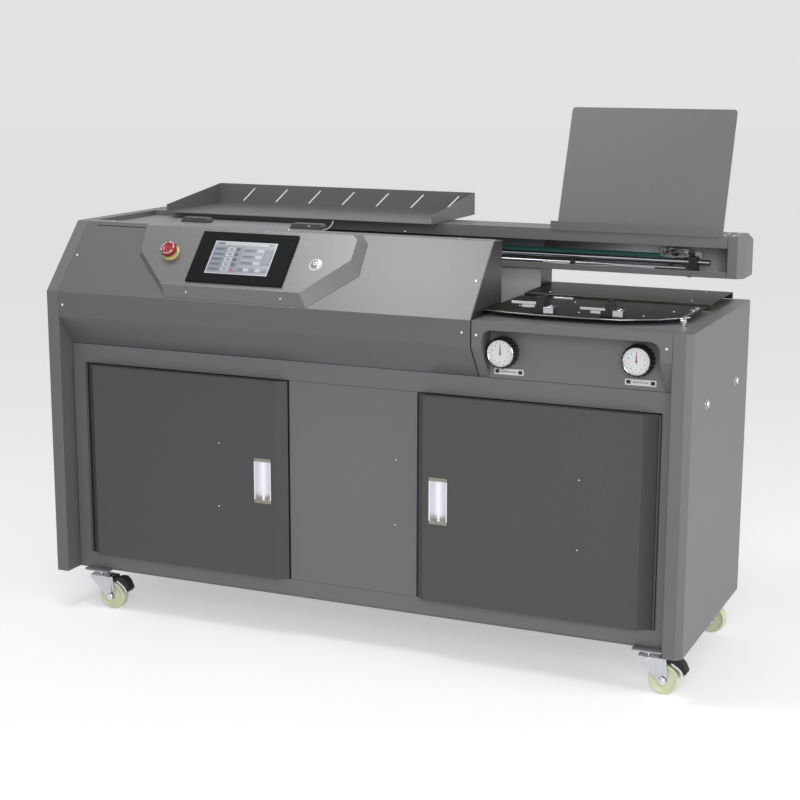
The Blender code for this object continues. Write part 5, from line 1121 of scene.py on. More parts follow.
@dataclass
class Hood(SubAssembly):
    """Hinged hood with its control pod, seen on a slope that rises to the rear."""

    crease_z: float = 0.737
    rise: float = 0.145
    run: float = 0.131
    pod_height: float = 0.018
    slope_screws: Sequence[Pair] = ((-0.691, 0.100), (0.267, 0.095))
    front_screws: Sequence[Triple] = ((-0.689, 0.0, 0.708), (0.262, 0.0, 0.712))
    pod_screws: Sequence[Triple] = ((-0.3735, 0.0150, 0.0092), (-0.1460, 0.0150, 0.0092))
    # Run and rise of the pod's lower edge, which its screws stand on
    pod_edge: Pair = (0.0221, 0.0177)
    groove: Pair = (-0.6025, 0.1842)
    groove_size: Triple = (0.143, 0.0022, 0.0006)
    bezel_x: Sequence[float] = (-0.379, -0.341, -0.190, -0.147)
    bezel_y: Sequence[float] = (0.036, 0.060, 0.145, 0.168)
    bezel_height: float = 0.0048
    glass_height: float = 0.0033
    page_margin: float = 0.0016
    tile_step: float = 0.00002
    tile_depth: float = 0.0008
    estop: Pair = (-0.440, 0.107)
    # Radii of the band's edges, radii of the head's wing, tip and barb, angles of its neck and tip
    arrow_band: Pair = (0.0153, 0.0141)
    arrow_head: Triple = (0.0166, 0.0146, 0.0126)
    arrow_turns: Pair = (1.35, 1.72)
    coats: dict = field(default_factory=lambda: {
        "hood_cover": (Finish.HOOD_GREY, 0.0016), "hood_hinge_bar": (Finish.DECK_GREY, 0.0004),
        "hood_end_plate": (Finish.END_STEEL, 0.0005)})
    pod_x: float = -0.541
    pod_length: float = 0.551
    start: Pair = (-0.088, 0.099)
    bore: float = 0.0088
    bore_floor: float = 0.0105
    face_shares: Sequence[Pair] = ((0.192, 0.133), (0.795, 0.133), (0.960, 0.594), (0.958, 0.860),
                                   (0.935, 0.9185), (0.016, 0.9185), (0.040, 0.563))
    base_shares: Sequence[Pair] = ((0.209, 0.020), (0.824, 0.010), (1.000, 0.450), (0.990, 0.880),
                                   (0.955, 0.995), (0.000, 0.995), (0.022, 0.548))

    def slope(self) -> Placement:
        """Local frame of the slanted face: x across, y up the slope, z out of it."""
        length = math.hypot(self.rise, self.run)
        uphill = (0.0, self.run / length, self.rise / length)
        return Placement((0.0, 0.0, self.crease_z), (1.0, 0.0, 0.0), uphill)

    def details(self) -> None:
        """Pod, screws, a dark strip of painted groove shade, display, emergency stop and start button."""
        slope = self.slope()
        self.pod(slope)
        places = [slope.moved(*point) for point in self.slope_screws] + spots(self.front_screws, FACING_FRONT)
        screws("hood_screws", Screw.HOOD, places, "hood")
        # A dark strip that paints the shade of a groove in the slope
        groove = slope.moved(*self.groove).place(block(self.groove_size, radius=0.001))
        put("hood_groove_painted_shade", groove, Finish.SHADOW, "hood")
        along, outward = self.pod_edge
        steep = along * np.array(slope.up) + outward * np.cross(slope.across, slope.up)
        steep = steep / math.hypot(along, outward)
        origins = [slope.moved(*point).origin for point in self.pod_screws]
        screws("pod_edge_screws", Screw.POD, spots(origins, (slope.across, tuple(steep))), "hood")
        self.display(slope)
        self.emergency_stop(slope)
        self.start_button(slope)

    def pod(self, slope: Placement) -> None:
        """Raised housing: seven-sided outlines on the slope and on its face, and the start button's bore.

        Each side of both outlines is cut in equal steps. Rows are the base, the face, the bore's
        rim, where each point of the face is drawn towards the bore's centre, and the bore's floor.
        """
        scale = np.array([self.pod_length, math.hypot(self.rise, self.run)])
        steps = np.linspace(0, 1, 8, endpoint=False)[None, :, None]
        rows = []
        for shares in (self.base_shares, self.face_shares):
            corners = np.array(shares) * scale + np.array([self.pod_x, 0.0])
            following = np.roll(corners, -1, axis=0)
            rows.append((corners[:, None] * (1 - steps) + following[:, None] * steps).reshape(-1, 2))
        centre = np.array(self.start)
        outward = rows[1] - centre
        rim = centre + self.bore * unit(outward)
        count = len(rim)
        heights = (SEAT_GAP, self.pod_height, self.pod_height, self.bore_floor)
        points = np.concatenate([np.column_stack([row, np.full(count, height)])
                                 for row, height in zip((*rows, rim, rim), heights)])
        faces = grid_faces(4, count, wrap_cols=True) + end_faces(4, count)
        put("pod_housing", slope.place((points, faces)), Finish.POD_GREY, "hood", ["control_pod"],
            edge=0.0022, angle=24.0)

    def display(self, slope: Placement) -> None:
        """Bezel, and the tiles of a plain control page, each with its tint as an attribute."""
        plate = plate_with_window(self.bezel_x, self.bezel_y, self.pod_height + SEAT_GAP,
                                  self.pod_height + self.bezel_height)
        put("bezel", slope.place(plate), Finish.BLACK_GLOSS, "hood", ["screen_bezel"], edge=0.0014)
        parts, tints = [], []
        for left, right, low, high, level, tint in self.page():
            part = extrusion(rectangle(left, right, low, high), -self.tile_depth, level)
            parts.append(part)
            tints += [linear(*tint)] * len(part[1])
        glass = slope.moved(0, 0, self.pod_height + self.glass_height)
        piece = put("display_page", glass.place(joined(*parts)), Finish.SCREEN, "hood", ["touch_screen"])
        layer = piece.data.color_attributes.new("tint", "FLOAT_COLOR", "CORNER")
        totals = np.zeros(len(piece.data.polygons), int)
        piece.data.polygons.foreach_get("loop_total", totals)
        colours = np.repeat(np.array(tints[:len(totals)]), totals, axis=0)
        layer.data.foreach_set("color", colours.astype(np.float32).ravel())

    def page(self) -> list[tuple]:
        """Tiles of the page: left, right, low, high, height above the glass and tint."""
        x0, x1 = self.bezel_x[1] + SEAT_GAP, self.bezel_x[2] - SEAT_GAP
        y0, y1 = self.bezel_y[1] + SEAT_GAP, self.bezel_y[2] - SEAT_GAP
        width, height, margin = x1 - x0, y1 - y0, self.page_margin
        pale, sky, slate, cell, rose = ((150, 156, 162), (122, 130, 140), (92, 98, 108), (184, 189, 193),
                                        (164, 122, 126))
        tiles = [(x0, x1, y0, y1, 0.0, (214, 216, 219)),
                 (x0 + margin, x1 - margin, y0 + margin, y1 - margin, self.tile_step, pale)]

        def tile(left: float, right: float, low: float, high: float, tint: Triple) -> None:
            """Add a tile given as shares of the page, a little above the last."""
            level = self.tile_step * (1 + len(tiles))
            tiles.append((x0 + width * left, x0 + width * right, y0 + height * low, y0 + height * high,
                          level, tint))

        tile(0.02, 0.98, 0.89, 0.97, cell)
        tile(0.04, 0.16, 0.905, 0.955, slate)
        tile(0.86, 0.96, 0.905, 0.955, sky)
        for row in range(5):
            low = 0.70 - 0.155 * row
            tile(0.03, 0.22, low, low + 0.11, sky)
            tile(0.05, 0.18, low + 0.04, low + 0.07, slate)
            tile(0.24, 0.36, low, low + 0.11, cell)
            tile(0.27, 0.33, low + 0.03, low + 0.08, sky)
            tile(0.375, 0.44, low, low + 0.11, rose if row == 4 else slate)
        tile(0.47, 0.475, 0.06, 0.84, slate)
        for row in range(3):
            low = 0.68 - 0.19 * row
            tile(0.51, 0.70, low + 0.02, low + 0.10, sky)
            tile(0.53, 0.67, low + 0.05, low + 0.075, slate)
            tile(0.72, 0.82, low + 0.02, low + 0.10, cell)
        tile(0.84, 0.97, 0.32, 0.78, sky)
        for column in range(5):
            left = 0.51 + 0.094 * column
            tile(left, left + 0.075, 0.10, 0.20, cell if column % 2 else sky)
        return tiles

    def emergency_stop(self, slope: Placement) -> None:
        """Yellow plate, and a red mushroom cap with three turn arrows."""
        place = slope.moved(*self.estop, self.pod_height + SEAT_GAP)
        plate = lathe(((0.0, 0.0), (0.0190, 0.0), (0.0195, 0.0008), (0.0195, 0.0034), (0.0186, 0.0046),
                       (0.0150, 0.0056), (0.0095, 0.0058), (0.0095, 0.0004), (0.0, 0.0004)), 64)
        put("estop_plate", place.place(plate), Finish.YELLOW, "hood", ["estop_base"])
        cap = lathe(((0.0, 0.0052), (0.0088, 0.0052), (0.0088, 0.0100), (0.0150, 0.0108), (0.0178, 0.0118),
                     (0.0185, 0.0140), (0.0183, 0.0175), (0.0172, 0.0200), (0.0150, 0.0216), (0.0118, 0.0222),
                     (0.0112, 0.0216), (0.0060, 0.0214), (0.0, 0.0214)), 96, flutes=24, depth=0.0007)
        put("estop_cap", place.place(cap), Finish.RED, "estop", ["estop_button"], angle=50.0)
        arrows = []
        for turn in range(3):
            start = 2 * np.pi * turn / 3
            neck, tip = (start + angle for angle in self.arrow_turns)
            outer, inner = (on_circle(radius, np.linspace(start, neck, 12)) for radius in self.arrow_band)
            head = [on_circle(radius, [angle]) for radius, angle in zip(self.arrow_head, (neck, tip, neck))]
            arrows.append(extrusion(np.concatenate([outer, *head, inner[::-1]]), 0.0198, 0.0221))
        put("estop_arrows", place.place(joined(*arrows)), Finish.WHITE, "estop")

    def start_button(self, slope: Placement) -> None:
        """Round pale plate, bright ring, and a steel push button with a dark ring and centre."""
        place = slope.moved(*self.start, self.pod_height + 0.0001)
        plate = lathe(((0.0092, 0.0), (0.0148, 0.0), (0.0150, 0.0003), (0.0146, 0.0005), (0.0092, 0.0005)),
                      64, ring=True)
        put("start_plate", place.place(plate), Finish.WHITE, "hood")
        ring = lathe(((0.0089, -0.0002), (0.0112, 0.0004), (0.0112, 0.0022), (0.0104, 0.0030),
                      (0.0092, 0.0032), (0.0089, 0.0024)), 64, ring=True)
        put("start_ring", place.place(ring), Finish.CHROME, "hood")
        cap = lathe(((0.0, -0.0035), (0.0084, -0.0035), (0.0084, 0.0038), (0.0078, 0.0046), (0.0060, 0.0049),
                     (0.0, 0.0046)), 48)
        put("start_cap", place.place(cap), Finish.ALUMINIUM, "start", ["start_button"])
        marks = [lathe(rectangle(0.0046, 0.0066, 0.0044, 0.0051), 48, ring=True),
                 lathe(rectangle(0.0, 0.0021, 0.0044, 0.0052), 32)]
        put("start_marks", place.place(joined(*marks)), Finish.BLACK, "start")


@dataclass
class TopDeck(SubAssembly):
    """Deck behind the hood, slotted book tray and cover rack."""

    coats: dict = field(default_factory=lambda: {
        "top_deck": (Finish.DECK_GREY, 0.0006)})
    tray_x: Pair = (-0.643, 0.043)
    tray_depth: float = 0.260
    tray_walls: Pair = (0.019, 0.0517)
    tray_sheet: float = 0.0025
    slots: int = 7
    slot_margins: Pair = (0.066, 0.073)
    slot_z: Pair = (0.0097, 0.0417)
    slot_lean: float = 0.033
    slot_half: float = 0.0022
    rack_height: float = 0.2570
    rack_base: float = 0.0435
    rack_lip: float = 0.0167
    rack_corner: float = 0.007
    rack_lean: float = 20.0
    rack_sheet: float = 0.003
    # Middle, front, width and height
    tabs: Sequence[tuple] = ((-0.525, 0.300, 0.074, 0.0115), (-0.222, 0.272, 0.082, 0.0125))
    tab_corner: float = 0.008
    tab_cut: float = 0.007
    tab_depth: float = 0.024
    top_screws: Sequence[Pair] = ((-0.640, 0.143), (-0.197, 0.143), (0.200, 0.143))
    deck_screws: Sequence[Pair] = ((-0.520, 0.200), (-0.197, 0.233), (-0.003, 0.326))
    cable: Sequence[Pair] = ((-0.312, 0.176), (-0.300, 0.206), (-0.262, 0.214), (-0.220, 0.210),
                             (-0.176, 0.204), (-0.160, 0.198))
    cable_lift: float = 0.0016
    cable_radius: float = 0.0014
    lead: Sequence[Triple] = ((-0.214, 0.392, 0.8800), (-0.200, 0.366, 0.8786), (-0.186, 0.330, 0.8750),
                              (-0.176, 0.292, 0.8720))
    lead_end: Pair = (-0.170, 0.255)
    lead_lift: float = 0.0018
    lead_radius: float = 0.0016

    def details(self) -> None:
        """Tray, rack, tabs and cables, and the screws on the hood's return."""
        top = span_of("hood_cover")[1][2]
        places = spots(((x, y, top) for x, y in self.top_screws), FACING_UP)
        screws("hood_top_screws", Screw.DECK, places, "hood")
        self.deck_tabs()
        self.deck_cable()
        self.tray()
        self.rack()

    def tray(self) -> None:
        """Open sheet tray: a grid whose rows run over the floor and up the slotted back wall.

        The rows are the floor's front and back edge, the foot and head of the slots, and the
        wall's top. The columns are both ends and both edges of each slot, which lean with the slot.
        """
        low, high = span_of("book_tray")
        left, right = self.tray_x
        pitch = (right - left - sum(self.slot_margins)) / (self.slots - 1)
        feet = left + self.slot_margins[0] + pitch * np.arange(self.slots)
        edges = (feet[:, None] + np.array([-self.slot_half, self.slot_half])).ravel()
        upright = np.concatenate([[left], edges, [right]])
        leaning = np.concatenate([[left], edges + self.slot_lean, [right]])
        front, back, floor = high[1] - self.tray_depth, high[1], low[2]
        rows = ((upright, front, floor), (upright, back, floor), (upright, back, floor + self.slot_z[0]),
                (leaning, back, floor + self.slot_z[1]), (leaning, back, floor + self.tray_walls[1]))
        count = len(upright)
        points = [np.column_stack([xs, np.full(count, y), np.full(count, z)]) for xs, y, z in rows]
        points.append(np.array([(x, front, floor + self.tray_walls[0]) for x in self.tray_x]))
        holes = {2 * (count - 1) + 1 + 2 * index for index in range(self.slots)}
        faces = [face for index, face in enumerate(grid_faces(5, count)) if index not in holes]
        faces += [[row * count for row in range(6)],
                  [row * count - 1 for row in range(1, 6)] + [5 * count + 1]]
        put("slotted_tray", (np.concatenate(points), faces), Finish.TRAY_GREY, "machine", ["book_tray"],
            edge=0.0006, sheet=self.tray_sheet)

    def rack(self) -> None:
        """Folded rack: lip, base and a leaning back whose width shrinks along a quarter circle at the top."""
        low, high = span_of("cover_rack")
        turn = np.linspace(0, np.pi / 2, 7)
        top = low[2] + self.rack_height
        heights = np.concatenate([[low[2]], top - self.rack_corner + self.rack_corner * np.sin(turn)])
        insets = np.concatenate([np.zeros(3), self.rack_corner * (1 - np.cos(turn))])
        bend = low[1] + self.rack_base
        back = np.column_stack([bend + (heights - low[2]) * math.tan(math.radians(self.rack_lean)), heights])
        fold = np.concatenate([[(low[1], low[2] + self.rack_lip), (low[1], low[2])], back])
        put("folded_rack", SIDEWAYS.place(strip(fold, low[0] + insets, high[0] - insets)), Finish.GREY,
            "machine", ["cover_rack"], edge=0.0007, sheet=self.rack_sheet)

    def deck_tabs(self) -> None:
        """Two dark upright tabs before the tray, with one round and one cut corner each, and the screws."""
        floor = span_of("top_deck")[1][2]
        radius = self.tab_corner
        tabs = []
        for x, y, width, height in self.tabs:
            half = width / 2
            turned = on_circle(radius, np.linspace(np.pi / 2, 0, 7))
            corner = np.array([half - radius, height - radius]) + turned
            outline = np.concatenate([[(-half, 0.0), (-half + self.tab_cut, height)], corner, [(half, 0.0)]])
            place = Placement((x, y, floor), *FACING_FRONT)
            tabs.append(place.place(extrusion(outline, -self.tab_depth, 0.0)))
        put("deck_tabs", joined(*tabs), Finish.DOOR_GREY, "machine", edge=0.0012)
        x, y, width, height = self.tabs[-1]
        place = Placement((x + 0.1 * width, y, floor + height * 0.55), *FACING_FRONT)
        screws("deck_tab_screws", Screw.CAP, [place], "machine")
        places = spots(((x, y, floor) for x, y in self.deck_screws), FACING_UP)
        screws("deck_screws", Screw.DECK, places, "machine")

    def deck_cable(self) -> None:
        """Thin black cable flat on the deck, and the pale lead that drops from the tray."""
        floor = span_of("top_deck")[1][2]
        knots = [(x, y, floor + self.cable_lift) for x, y in self.cable]
        put("deck_cable", tube(smooth_path(knots, 40), self.cable_radius), Finish.BLACK, "machine")
        drop = (*self.lead, (*self.lead_end, floor + self.lead_lift))
        put("deck_lead", tube(smooth_path(drop, 40), self.lead_radius), Finish.WIRE, "machine")


@dataclass
class BeamDrive(SubAssembly):
    """Beam housing with the rods, the belt and what shows in its window."""

    upper: Pair = (0.450, 0.820)
    rod_radii: dict = field(default_factory=lambda: {"upper_guide_rod": 0.006, "lower_guide_rod": 0.004})
    rod_rim: float = 0.15
    thin_sheet: float = 0.0006
    liner_inset: float = 0.0026
    liner_flange: float = 0.012
    liner_x: Pair = (0.262, 0.690)
    belt_z: Pair = (0.0002, 0.0062)
    belt_sheet: float = 0.0014
    seam_x: float = 0.695
    seam_half: float = 0.0004
    seam_relief: float = 0.0002
    cap_screws: Sequence[Pair] = ((0.682, 0.437), (0.682, 0.482), (0.703, 0.437), (0.703, 0.482))
    foot: Pair = (0.610, 0.440)
    leads: int = 12
    lead_radius: float = 0.0007
    wire_radius: float = 0.0009
    # Finish and edge, then size, place from the pulley's top and corner radius of each block
    fittings: dict = field(default_factory=lambda: {
        "idler_bracket": (Finish.ZINC, 0.0006, ((0.052, 0.036, 0.002), (0.004, 0.0, 0.0022), 0.004),
                          ((0.010, 0.006, 0.030), (0.034, 0.0, -0.010), 0.001)),
        "idler_connector": (Finish.WIRE, 0.0008, ((0.024, 0.013, 0.014), (0.060, -0.012, -0.002), 0.002),
                            ((0.010, 0.010, 0.008), (-0.004, -0.020, 0.004), 0.001)),
        "idler_terminals": (Finish.BLACK, 0.0006, ((0.007, 0.008, 0.012), (-0.002, -0.026, 0.006), 0.001),
                            ((0.014, 0.010, 0.006), (0.050, -0.024, 0.0), 0.001))})
    wire_lifts: Triple = (0.0, 0.0024, 0.0046)
    sill_lift: float = 0.0105
    coats: dict = field(default_factory=lambda: {
        "beam_housing": (Finish.GREY, 0.0010), "beam_wall": (Finish.WALL_STEEL, 0.0005),
        "rod_clamp": (Finish.BLACK, 0.0006), "belt_motor": (Finish.BLACK, 0.0010),
        "drive_pulley": (Finish.ALUMINIUM, 0.0003), "idler_pulley": (Finish.ALUMINIUM, 0.0003),
        "clamp_carriage": (Finish.ALUMINIUM, 0.0008),
        "front_clamp_jaw": (Finish.ALUMINIUM, 0.0008)})

    def details(self) -> None:
        """Rods, end cap with its painted seam shadow, wiring, belt, and the pale sheets that paint light into
        the window and behind the clamp.
        """
        for node, radius in self.rod_radii.items():
            self.rod(node, radius)
        self.end_cap()
        self.wiring()
        self.belt()
        self.liner()
        self.lining()

    def lining(self) -> None:
        """Pale thin sheet on the front of the wall that carries the beam, inside the tall section: painted
        light where the hood shades the wall.
        """
        low, high = span_of("beam_wall")
        outline = rectangle(low[0] + 0.004, high[0] - 0.0005, low[2] + 0.010, high[2] - 0.002, radius=0.002)
        place = Placement((0.0, low[1] - self.thin_sheet, 0.0), *FACING_FRONT)
        put("wall_lining", place.place(extrusion(outline, -self.thin_sheet, 0.0)), Finish.WALL_LINING,
            "machine", edge=0.0002)

    def belt(self) -> None:
        """Thin belt round both pulleys: two loops of straights and half circles, one inside the other."""
        low, high = span_of("drive_belt")
        bottom, top = (low[2] + height for height in self.belt_z)
        bend = (high[1] - low[1]) / 2
        outer, inner = (rectangle(low[0] + inset, high[0] - inset, low[1] + inset, high[1] - inset,
                                  radius=bend - inset, steps=17) for inset in (0.0, self.belt_sheet))
        count = len(outer)
        points = np.concatenate([np.column_stack([loop, np.full(count, height)]) for loop, height in (
            (outer, bottom), (outer, top), (inner, top), (inner, bottom))])
        faces = grid_faces(4, count, wrap_rows=True, wrap_cols=True)
        put("belt_loop", (points, faces), Finish.BELT, body_holding("drive_belt"), ["drive_belt"], angle=40.0)

    def liner(self) -> None:
        """Pale sheet folded round the inside of the beam's window, behind the belt: painted light, far paler
        than the bare back wall it stands for, so the shaded inside reads as lit.
        """
        low, high = span_of("beam_housing")
        inset = self.liner_inset
        back, top, bottom = high[1] - inset, high[2] - inset, low[2] + inset
        edge = back - self.liner_flange
        fold = ((edge, bottom), (back, bottom), (back, top), (edge, top))
        put("window_liner", SIDEWAYS.place(strip(fold, *self.liner_x)), Finish.LINER, "machine",
            sheet=self.thin_sheet)

    def rod(self, node: str, radius: float) -> None:
        """Ground rod with a small chamfer at both ends."""
        low, high = span_of(node)
        y, z = (low[1] + high[1]) / 2, (low[2] + high[2]) / 2
        chamfer = radius * self.rod_rim
        rim = radius - chamfer
        profile = ((0.0, low[0]), (rim, low[0]), (radius, low[0] + chamfer),
                   (radius, high[0] - chamfer), (rim, high[0]), (0.0, high[0]))
        turned = Placement((0.0, y, z), *FACING_RIGHT).place(lathe(profile, 40))
        put(node + "_ground", turned, Finish.ROD_STEEL, "machine", [node])

    def end_cap(self) -> None:
        """Dark strip that paints the shadow of the cap's seam at the beam's right end, its screws on top, and
        the foot under the beam.
        """
        low, high = span_of("beam_housing")
        left, right, relief = self.seam_x - self.seam_half, self.seam_x + self.seam_half, self.seam_relief
        seam = extrusion(rectangle(left, right, low[2], high[2] + relief), -relief, relief)
        over = extrusion(rectangle(left, right, low[1], high[1]), -relief, relief)
        # The seam is a dark strip standing proud: painted shade, not a cut
        put("beam_cap_seam_painted_shade", joined(Placement((0.0, low[1], 0.0), *FACING_FRONT).place(seam),
                                    Placement((0.0, 0.0, high[2]), *FACING_UP).place(over)),
            Finish.SHADOW, "machine")
        places = spots(((x, y, high[2]) for x, y in self.cap_screws), FACING_UP)
        screws("beam_cap_screws", Screw.CAP, places, "machine")
        foot = lathe(((0.0, 0.0), (0.0060, 0.0), (0.0060, 0.0030), (0.0045, 0.0042), (0.0, 0.0042)), 32)
        under = Placement((*self.foot, low[2]), *FACING_DOWN)
        put("beam_foot", under.place(foot), Finish.RUBBER, "machine")

    def wiring(self) -> None:
        """Idler bracket, connector, looped leads round it, wires on the sill, and a clip under the rod."""
        low, high = span_of("idler_pulley")
        x, y = (low[0] + high[0]) / 2, (low[1] + high[1]) / 2
        for name, (finish, edge, *boxes) in self.fittings.items():
            parts = [block(size, (x + across, y + along, high[2] + up), radius)
                     for size, (across, along, up), radius in boxes]
            put(name, joined(*parts), finish, "machine", edge=edge)
        loops = []
        for index in range(self.leads):
            turn = np.linspace(0.0, 2 * np.pi * (0.62 + 0.04 * (index % 4)), 60) + 0.55 * index
            wide, tall = 0.022 + 0.0035 * (index % 5), 0.0085 + 0.0012 * (index % 3)
            middle = x + 0.020 + 0.0055 * ((index * 3) % 7 - 3)
            path = np.column_stack([middle + wide * np.cos(turn),
                                    y - 0.020 - 0.0022 * (index % 4) + 0.004 * np.sin(2 * turn),
                                    high[2] + 0.001 + tall * np.sin(turn)])
            loops.append(tube(path, self.lead_radius, reference=(0.1, 1.0, 0.2)))
        put("idler_leads", joined(*loops[::3], *loops[1::3]), Finish.WIRE, "machine")
        put("idler_black_leads", joined(*loops[2::3]), Finish.BLACK, "machine")
        sill = span_of("beam_housing")[0][2] + self.sill_lift
        wires = []
        for index, lift in enumerate(self.wire_lifts):
            knots = [(0.285 + 0.036 * step, 0.4205 + 0.0030 * index + 0.0016 * math.sin(1.7 * step + index),
                      sill + lift + 0.0012 * math.sin(1.1 * step + 2 * index)) for step in range(8)]
            wires.append(tube(smooth_path(knots, 90), self.wire_radius, reference=(0.1, 0.2, 1.0)))
        put("sill_wires", joined(*wires), Finish.WIRE, "machine")
        rod_y, rod_z = self.upper
        clip = block((0.010, 0.009, 0.012), (0.354, rod_y - 0.0255, rod_z - 0.014), 0.0015)
        put("rod_clip", clip, Finish.BLACK, "machine", edge=0.0006)


@dataclass
class ProcessUnits(SubAssembly):
    """Milling cutter and glue tank under the hood."""

    coats: dict = field(default_factory=lambda: {
        "milling_cutter": (Finish.ZINC, 0.0004), "cutter_motor": (Finish.BLACK, 0.0010),
        "glue_tank": (Finish.ALUMINIUM, 0.0010), "glue_roller": (Finish.CHROME, 0.0004)})


@dataclass
class TableSection(SubAssembly):
    """Right-hand section: fascia, tables and cover guides."""

    coats: dict = field(default_factory=lambda: {
        "right_fascia": (Finish.GREY, 0.0009), "table_bed": (Finish.RECESS_GREY, 0.0006),
        "front_table": (Finish.TABLE_STEEL, 0.0005)})
    table_end: float = 0.691
    table_sheet: float = 0.0015
    fascia_screws: Sequence[Pair] = ((0.293, 0.709), (0.680, 0.709))
    front_screws: Sequence[Pair] = ((0.330, 0.150), (0.470, 0.110), (0.600, 0.120), (0.640, 0.200),
                                    (0.420, 0.240))
    rear_screws: Sequence[Pair] = ((0.330, 0.345), (0.640, 0.345), (0.640, 0.470))
    clamp_screws: Sequence[Pair] = ((0.685, 0.101), (0.680, 0.120))
    rail_blocks: Sequence[Pair] = ((0.676, 0.246), (0.674, 0.216))
    lip_depth: float = 0.238
    lip_shares: Sequence[Pair] = ((0.0, 0.090), (0.142, 0.032), (0.298, 0.002), (0.513, 0.0),
                                  (0.711, 0.029), (0.884, 0.185), (1.0, 0.403))

    def details(self) -> None:
        """Rear plate, bright lip of the front table, screws, and the two guides."""
        front = span_of("right_fascia")[0][1]
        places = spots(((x, front, z) for x, z in self.fascia_screws), FACING_FRONT)
        screws("fascia_screws", Screw.FASCIA, places, "machine")
        self.rear_plate()
        self.table_lip()
        self.table_screws()
        for side in LEFT_AND_RIGHT:
            self.guide(side)

    def rear_plate(self) -> None:
        """Folded stainless plate that reaches to the right side panel."""
        low, high = span_of("rear_table")
        fold = ((low[1], low[2]), (low[1], high[2]), (high[1], high[2]), (high[1], low[2]))
        put("rear_plate", SIDEWAYS.place(strip(fold, low[0], self.table_end)), Finish.TABLE_STEEL, "machine",
            ["rear_table"], edge=0.0006, sheet=self.table_sheet)

    def table_lip(self) -> None:
        """Polished edge along the front table's curved front: a half-round bead on its outline."""
        low, high = span_of("front_table")
        across, along = np.array(self.lip_shares).T
        path = np.column_stack([low[0] + (high[0] - low[0]) * across, low[1] + self.lip_depth * along,
                                np.full(len(across), high[2] - 0.0015)])
        angle = np.linspace(-np.pi / 2, np.pi / 2, 9)
        section = np.column_stack([-0.0005 * np.cos(angle), 0.0014 * np.sin(angle)])
        put("front_table_lip", sweep(path, np.concatenate([section, [(0.0006, 0.0014), (0.0006, -0.0014)]]),
                                     (0.0, 0.0, 1.0)), Finish.EDGE_STEEL, "machine", angle=60.0)

    def table_screws(self) -> None:
        """Screws on both tables, and two clamping screws, a rail and a stop bar on the front one."""
        front_top = span_of("front_table")[1][2]
        rear_top = span_of("rear_table")[1][2]
        points = [(x, y, front_top) for x, y in self.front_screws]
        points += [(x, y, rear_top) for x, y in self.rear_screws]
        screws("table_screws", Screw.TABLE, spots(points, FACING_UP), "machine")
        bed_top = span_of("table_bed")[1][2]
        knob = lathe(((0.0, 0.0), (0.0042, 0.0), (0.0042, 0.0060), (0.0062, 0.0065), (0.0062, 0.0120),
                      (0.0052, 0.0132), (0.0, 0.0132)), 48, flutes=16, depth=0.0005)
        places = spots(((x, y, bed_top) for x, y in self.clamp_screws), FACING_UP)
        put("table_clamp_screws", copies(knob, places), Finish.SCREW, "machine")
        rail = [block((0.0050, 0.118, 0.0030), (0.6780, 0.196, front_top + 0.0004), 0.0008)]
        rail += [block((0.0080, 0.0120, 0.0034), (x, y, front_top + 0.0022), 0.0010)
                 for x, y in self.rail_blocks]
        put("table_end_rail", joined(*rail), Finish.CHROME, "machine", edge=0.0004)
        stop = block((0.043, 0.011, 0.0040), (0.384, 0.272, front_top + 0.0021), 0.0015)
        put("table_stop_bar", stop, Finish.PULL_WHITE, "machine", edge=0.0008)

    def guide(self, side: str) -> None:
        """Black guide block with a chromed fence bar, a chromed clamp block and a knurled screw."""
        node = side + "_cover_guide"
        body = body_holding(node)
        low, high = span_of(node)
        start, front, foot = low
        back, top = high[1:]
        left, right, middle = start + 0.050, start + 0.0655, (front + back) / 2
        outline = [(left - 0.009, foot), (right, foot), (right, top - 0.002), (right - 0.003, top),
                   (left + 0.003, top), (left, top - 0.002), (left, foot + 0.012),
                   (left - 0.009, foot + 0.012)]
        upright = Placement((0.0, front, 0.0), *FACING_FRONT)
        put(side + "_guide_block", upright.place(extrusion(outline, front - back, 0.0)), Finish.BLACK, body,
            [node], edge=0.0008)
        bar_top = top - 0.012
        bar = [block((left - start + 0.002, 0.004, 0.0052), ((left + start) / 2, front + 0.002,
                                                             bar_top - 0.0026), 0.0006),
               block((0.028, 0.0055, 0.0062), (left - 0.016, front + 0.0045, bar_top - 0.0088), 0.0008)]
        put(side + "_guide_fence", joined(*bar), Finish.CHROME, body, edge=0.0005)
        clamp = block((0.021, back - front, 0.014), (right + 0.0105, middle, foot + 0.007), 0.001)
        put(side + "_guide_clamp", clamp, Finish.CHROME, body, edge=0.0010)
        knurl = lathe(((0.0, 0.0), (0.0046, 0.0), (0.0050, 0.0006), (0.0050, 0.0040), (0.0044, 0.0048),
                       (0.0, 0.0048)), 64, flutes=20, depth=0.0004)
        place = Placement(((left + right) / 2, middle, top - 0.0004), *FACING_UP)
        put(side + "_guide_thumb_screw", place.place(knurl), Finish.BLACK, body)
        points = [(right + 0.0105, y, foot + 0.014) for y in (front + 0.007, back - 0.007)]
        screws(side + "_guide_screws", Screw.DECK, spots(points, FACING_UP), body)


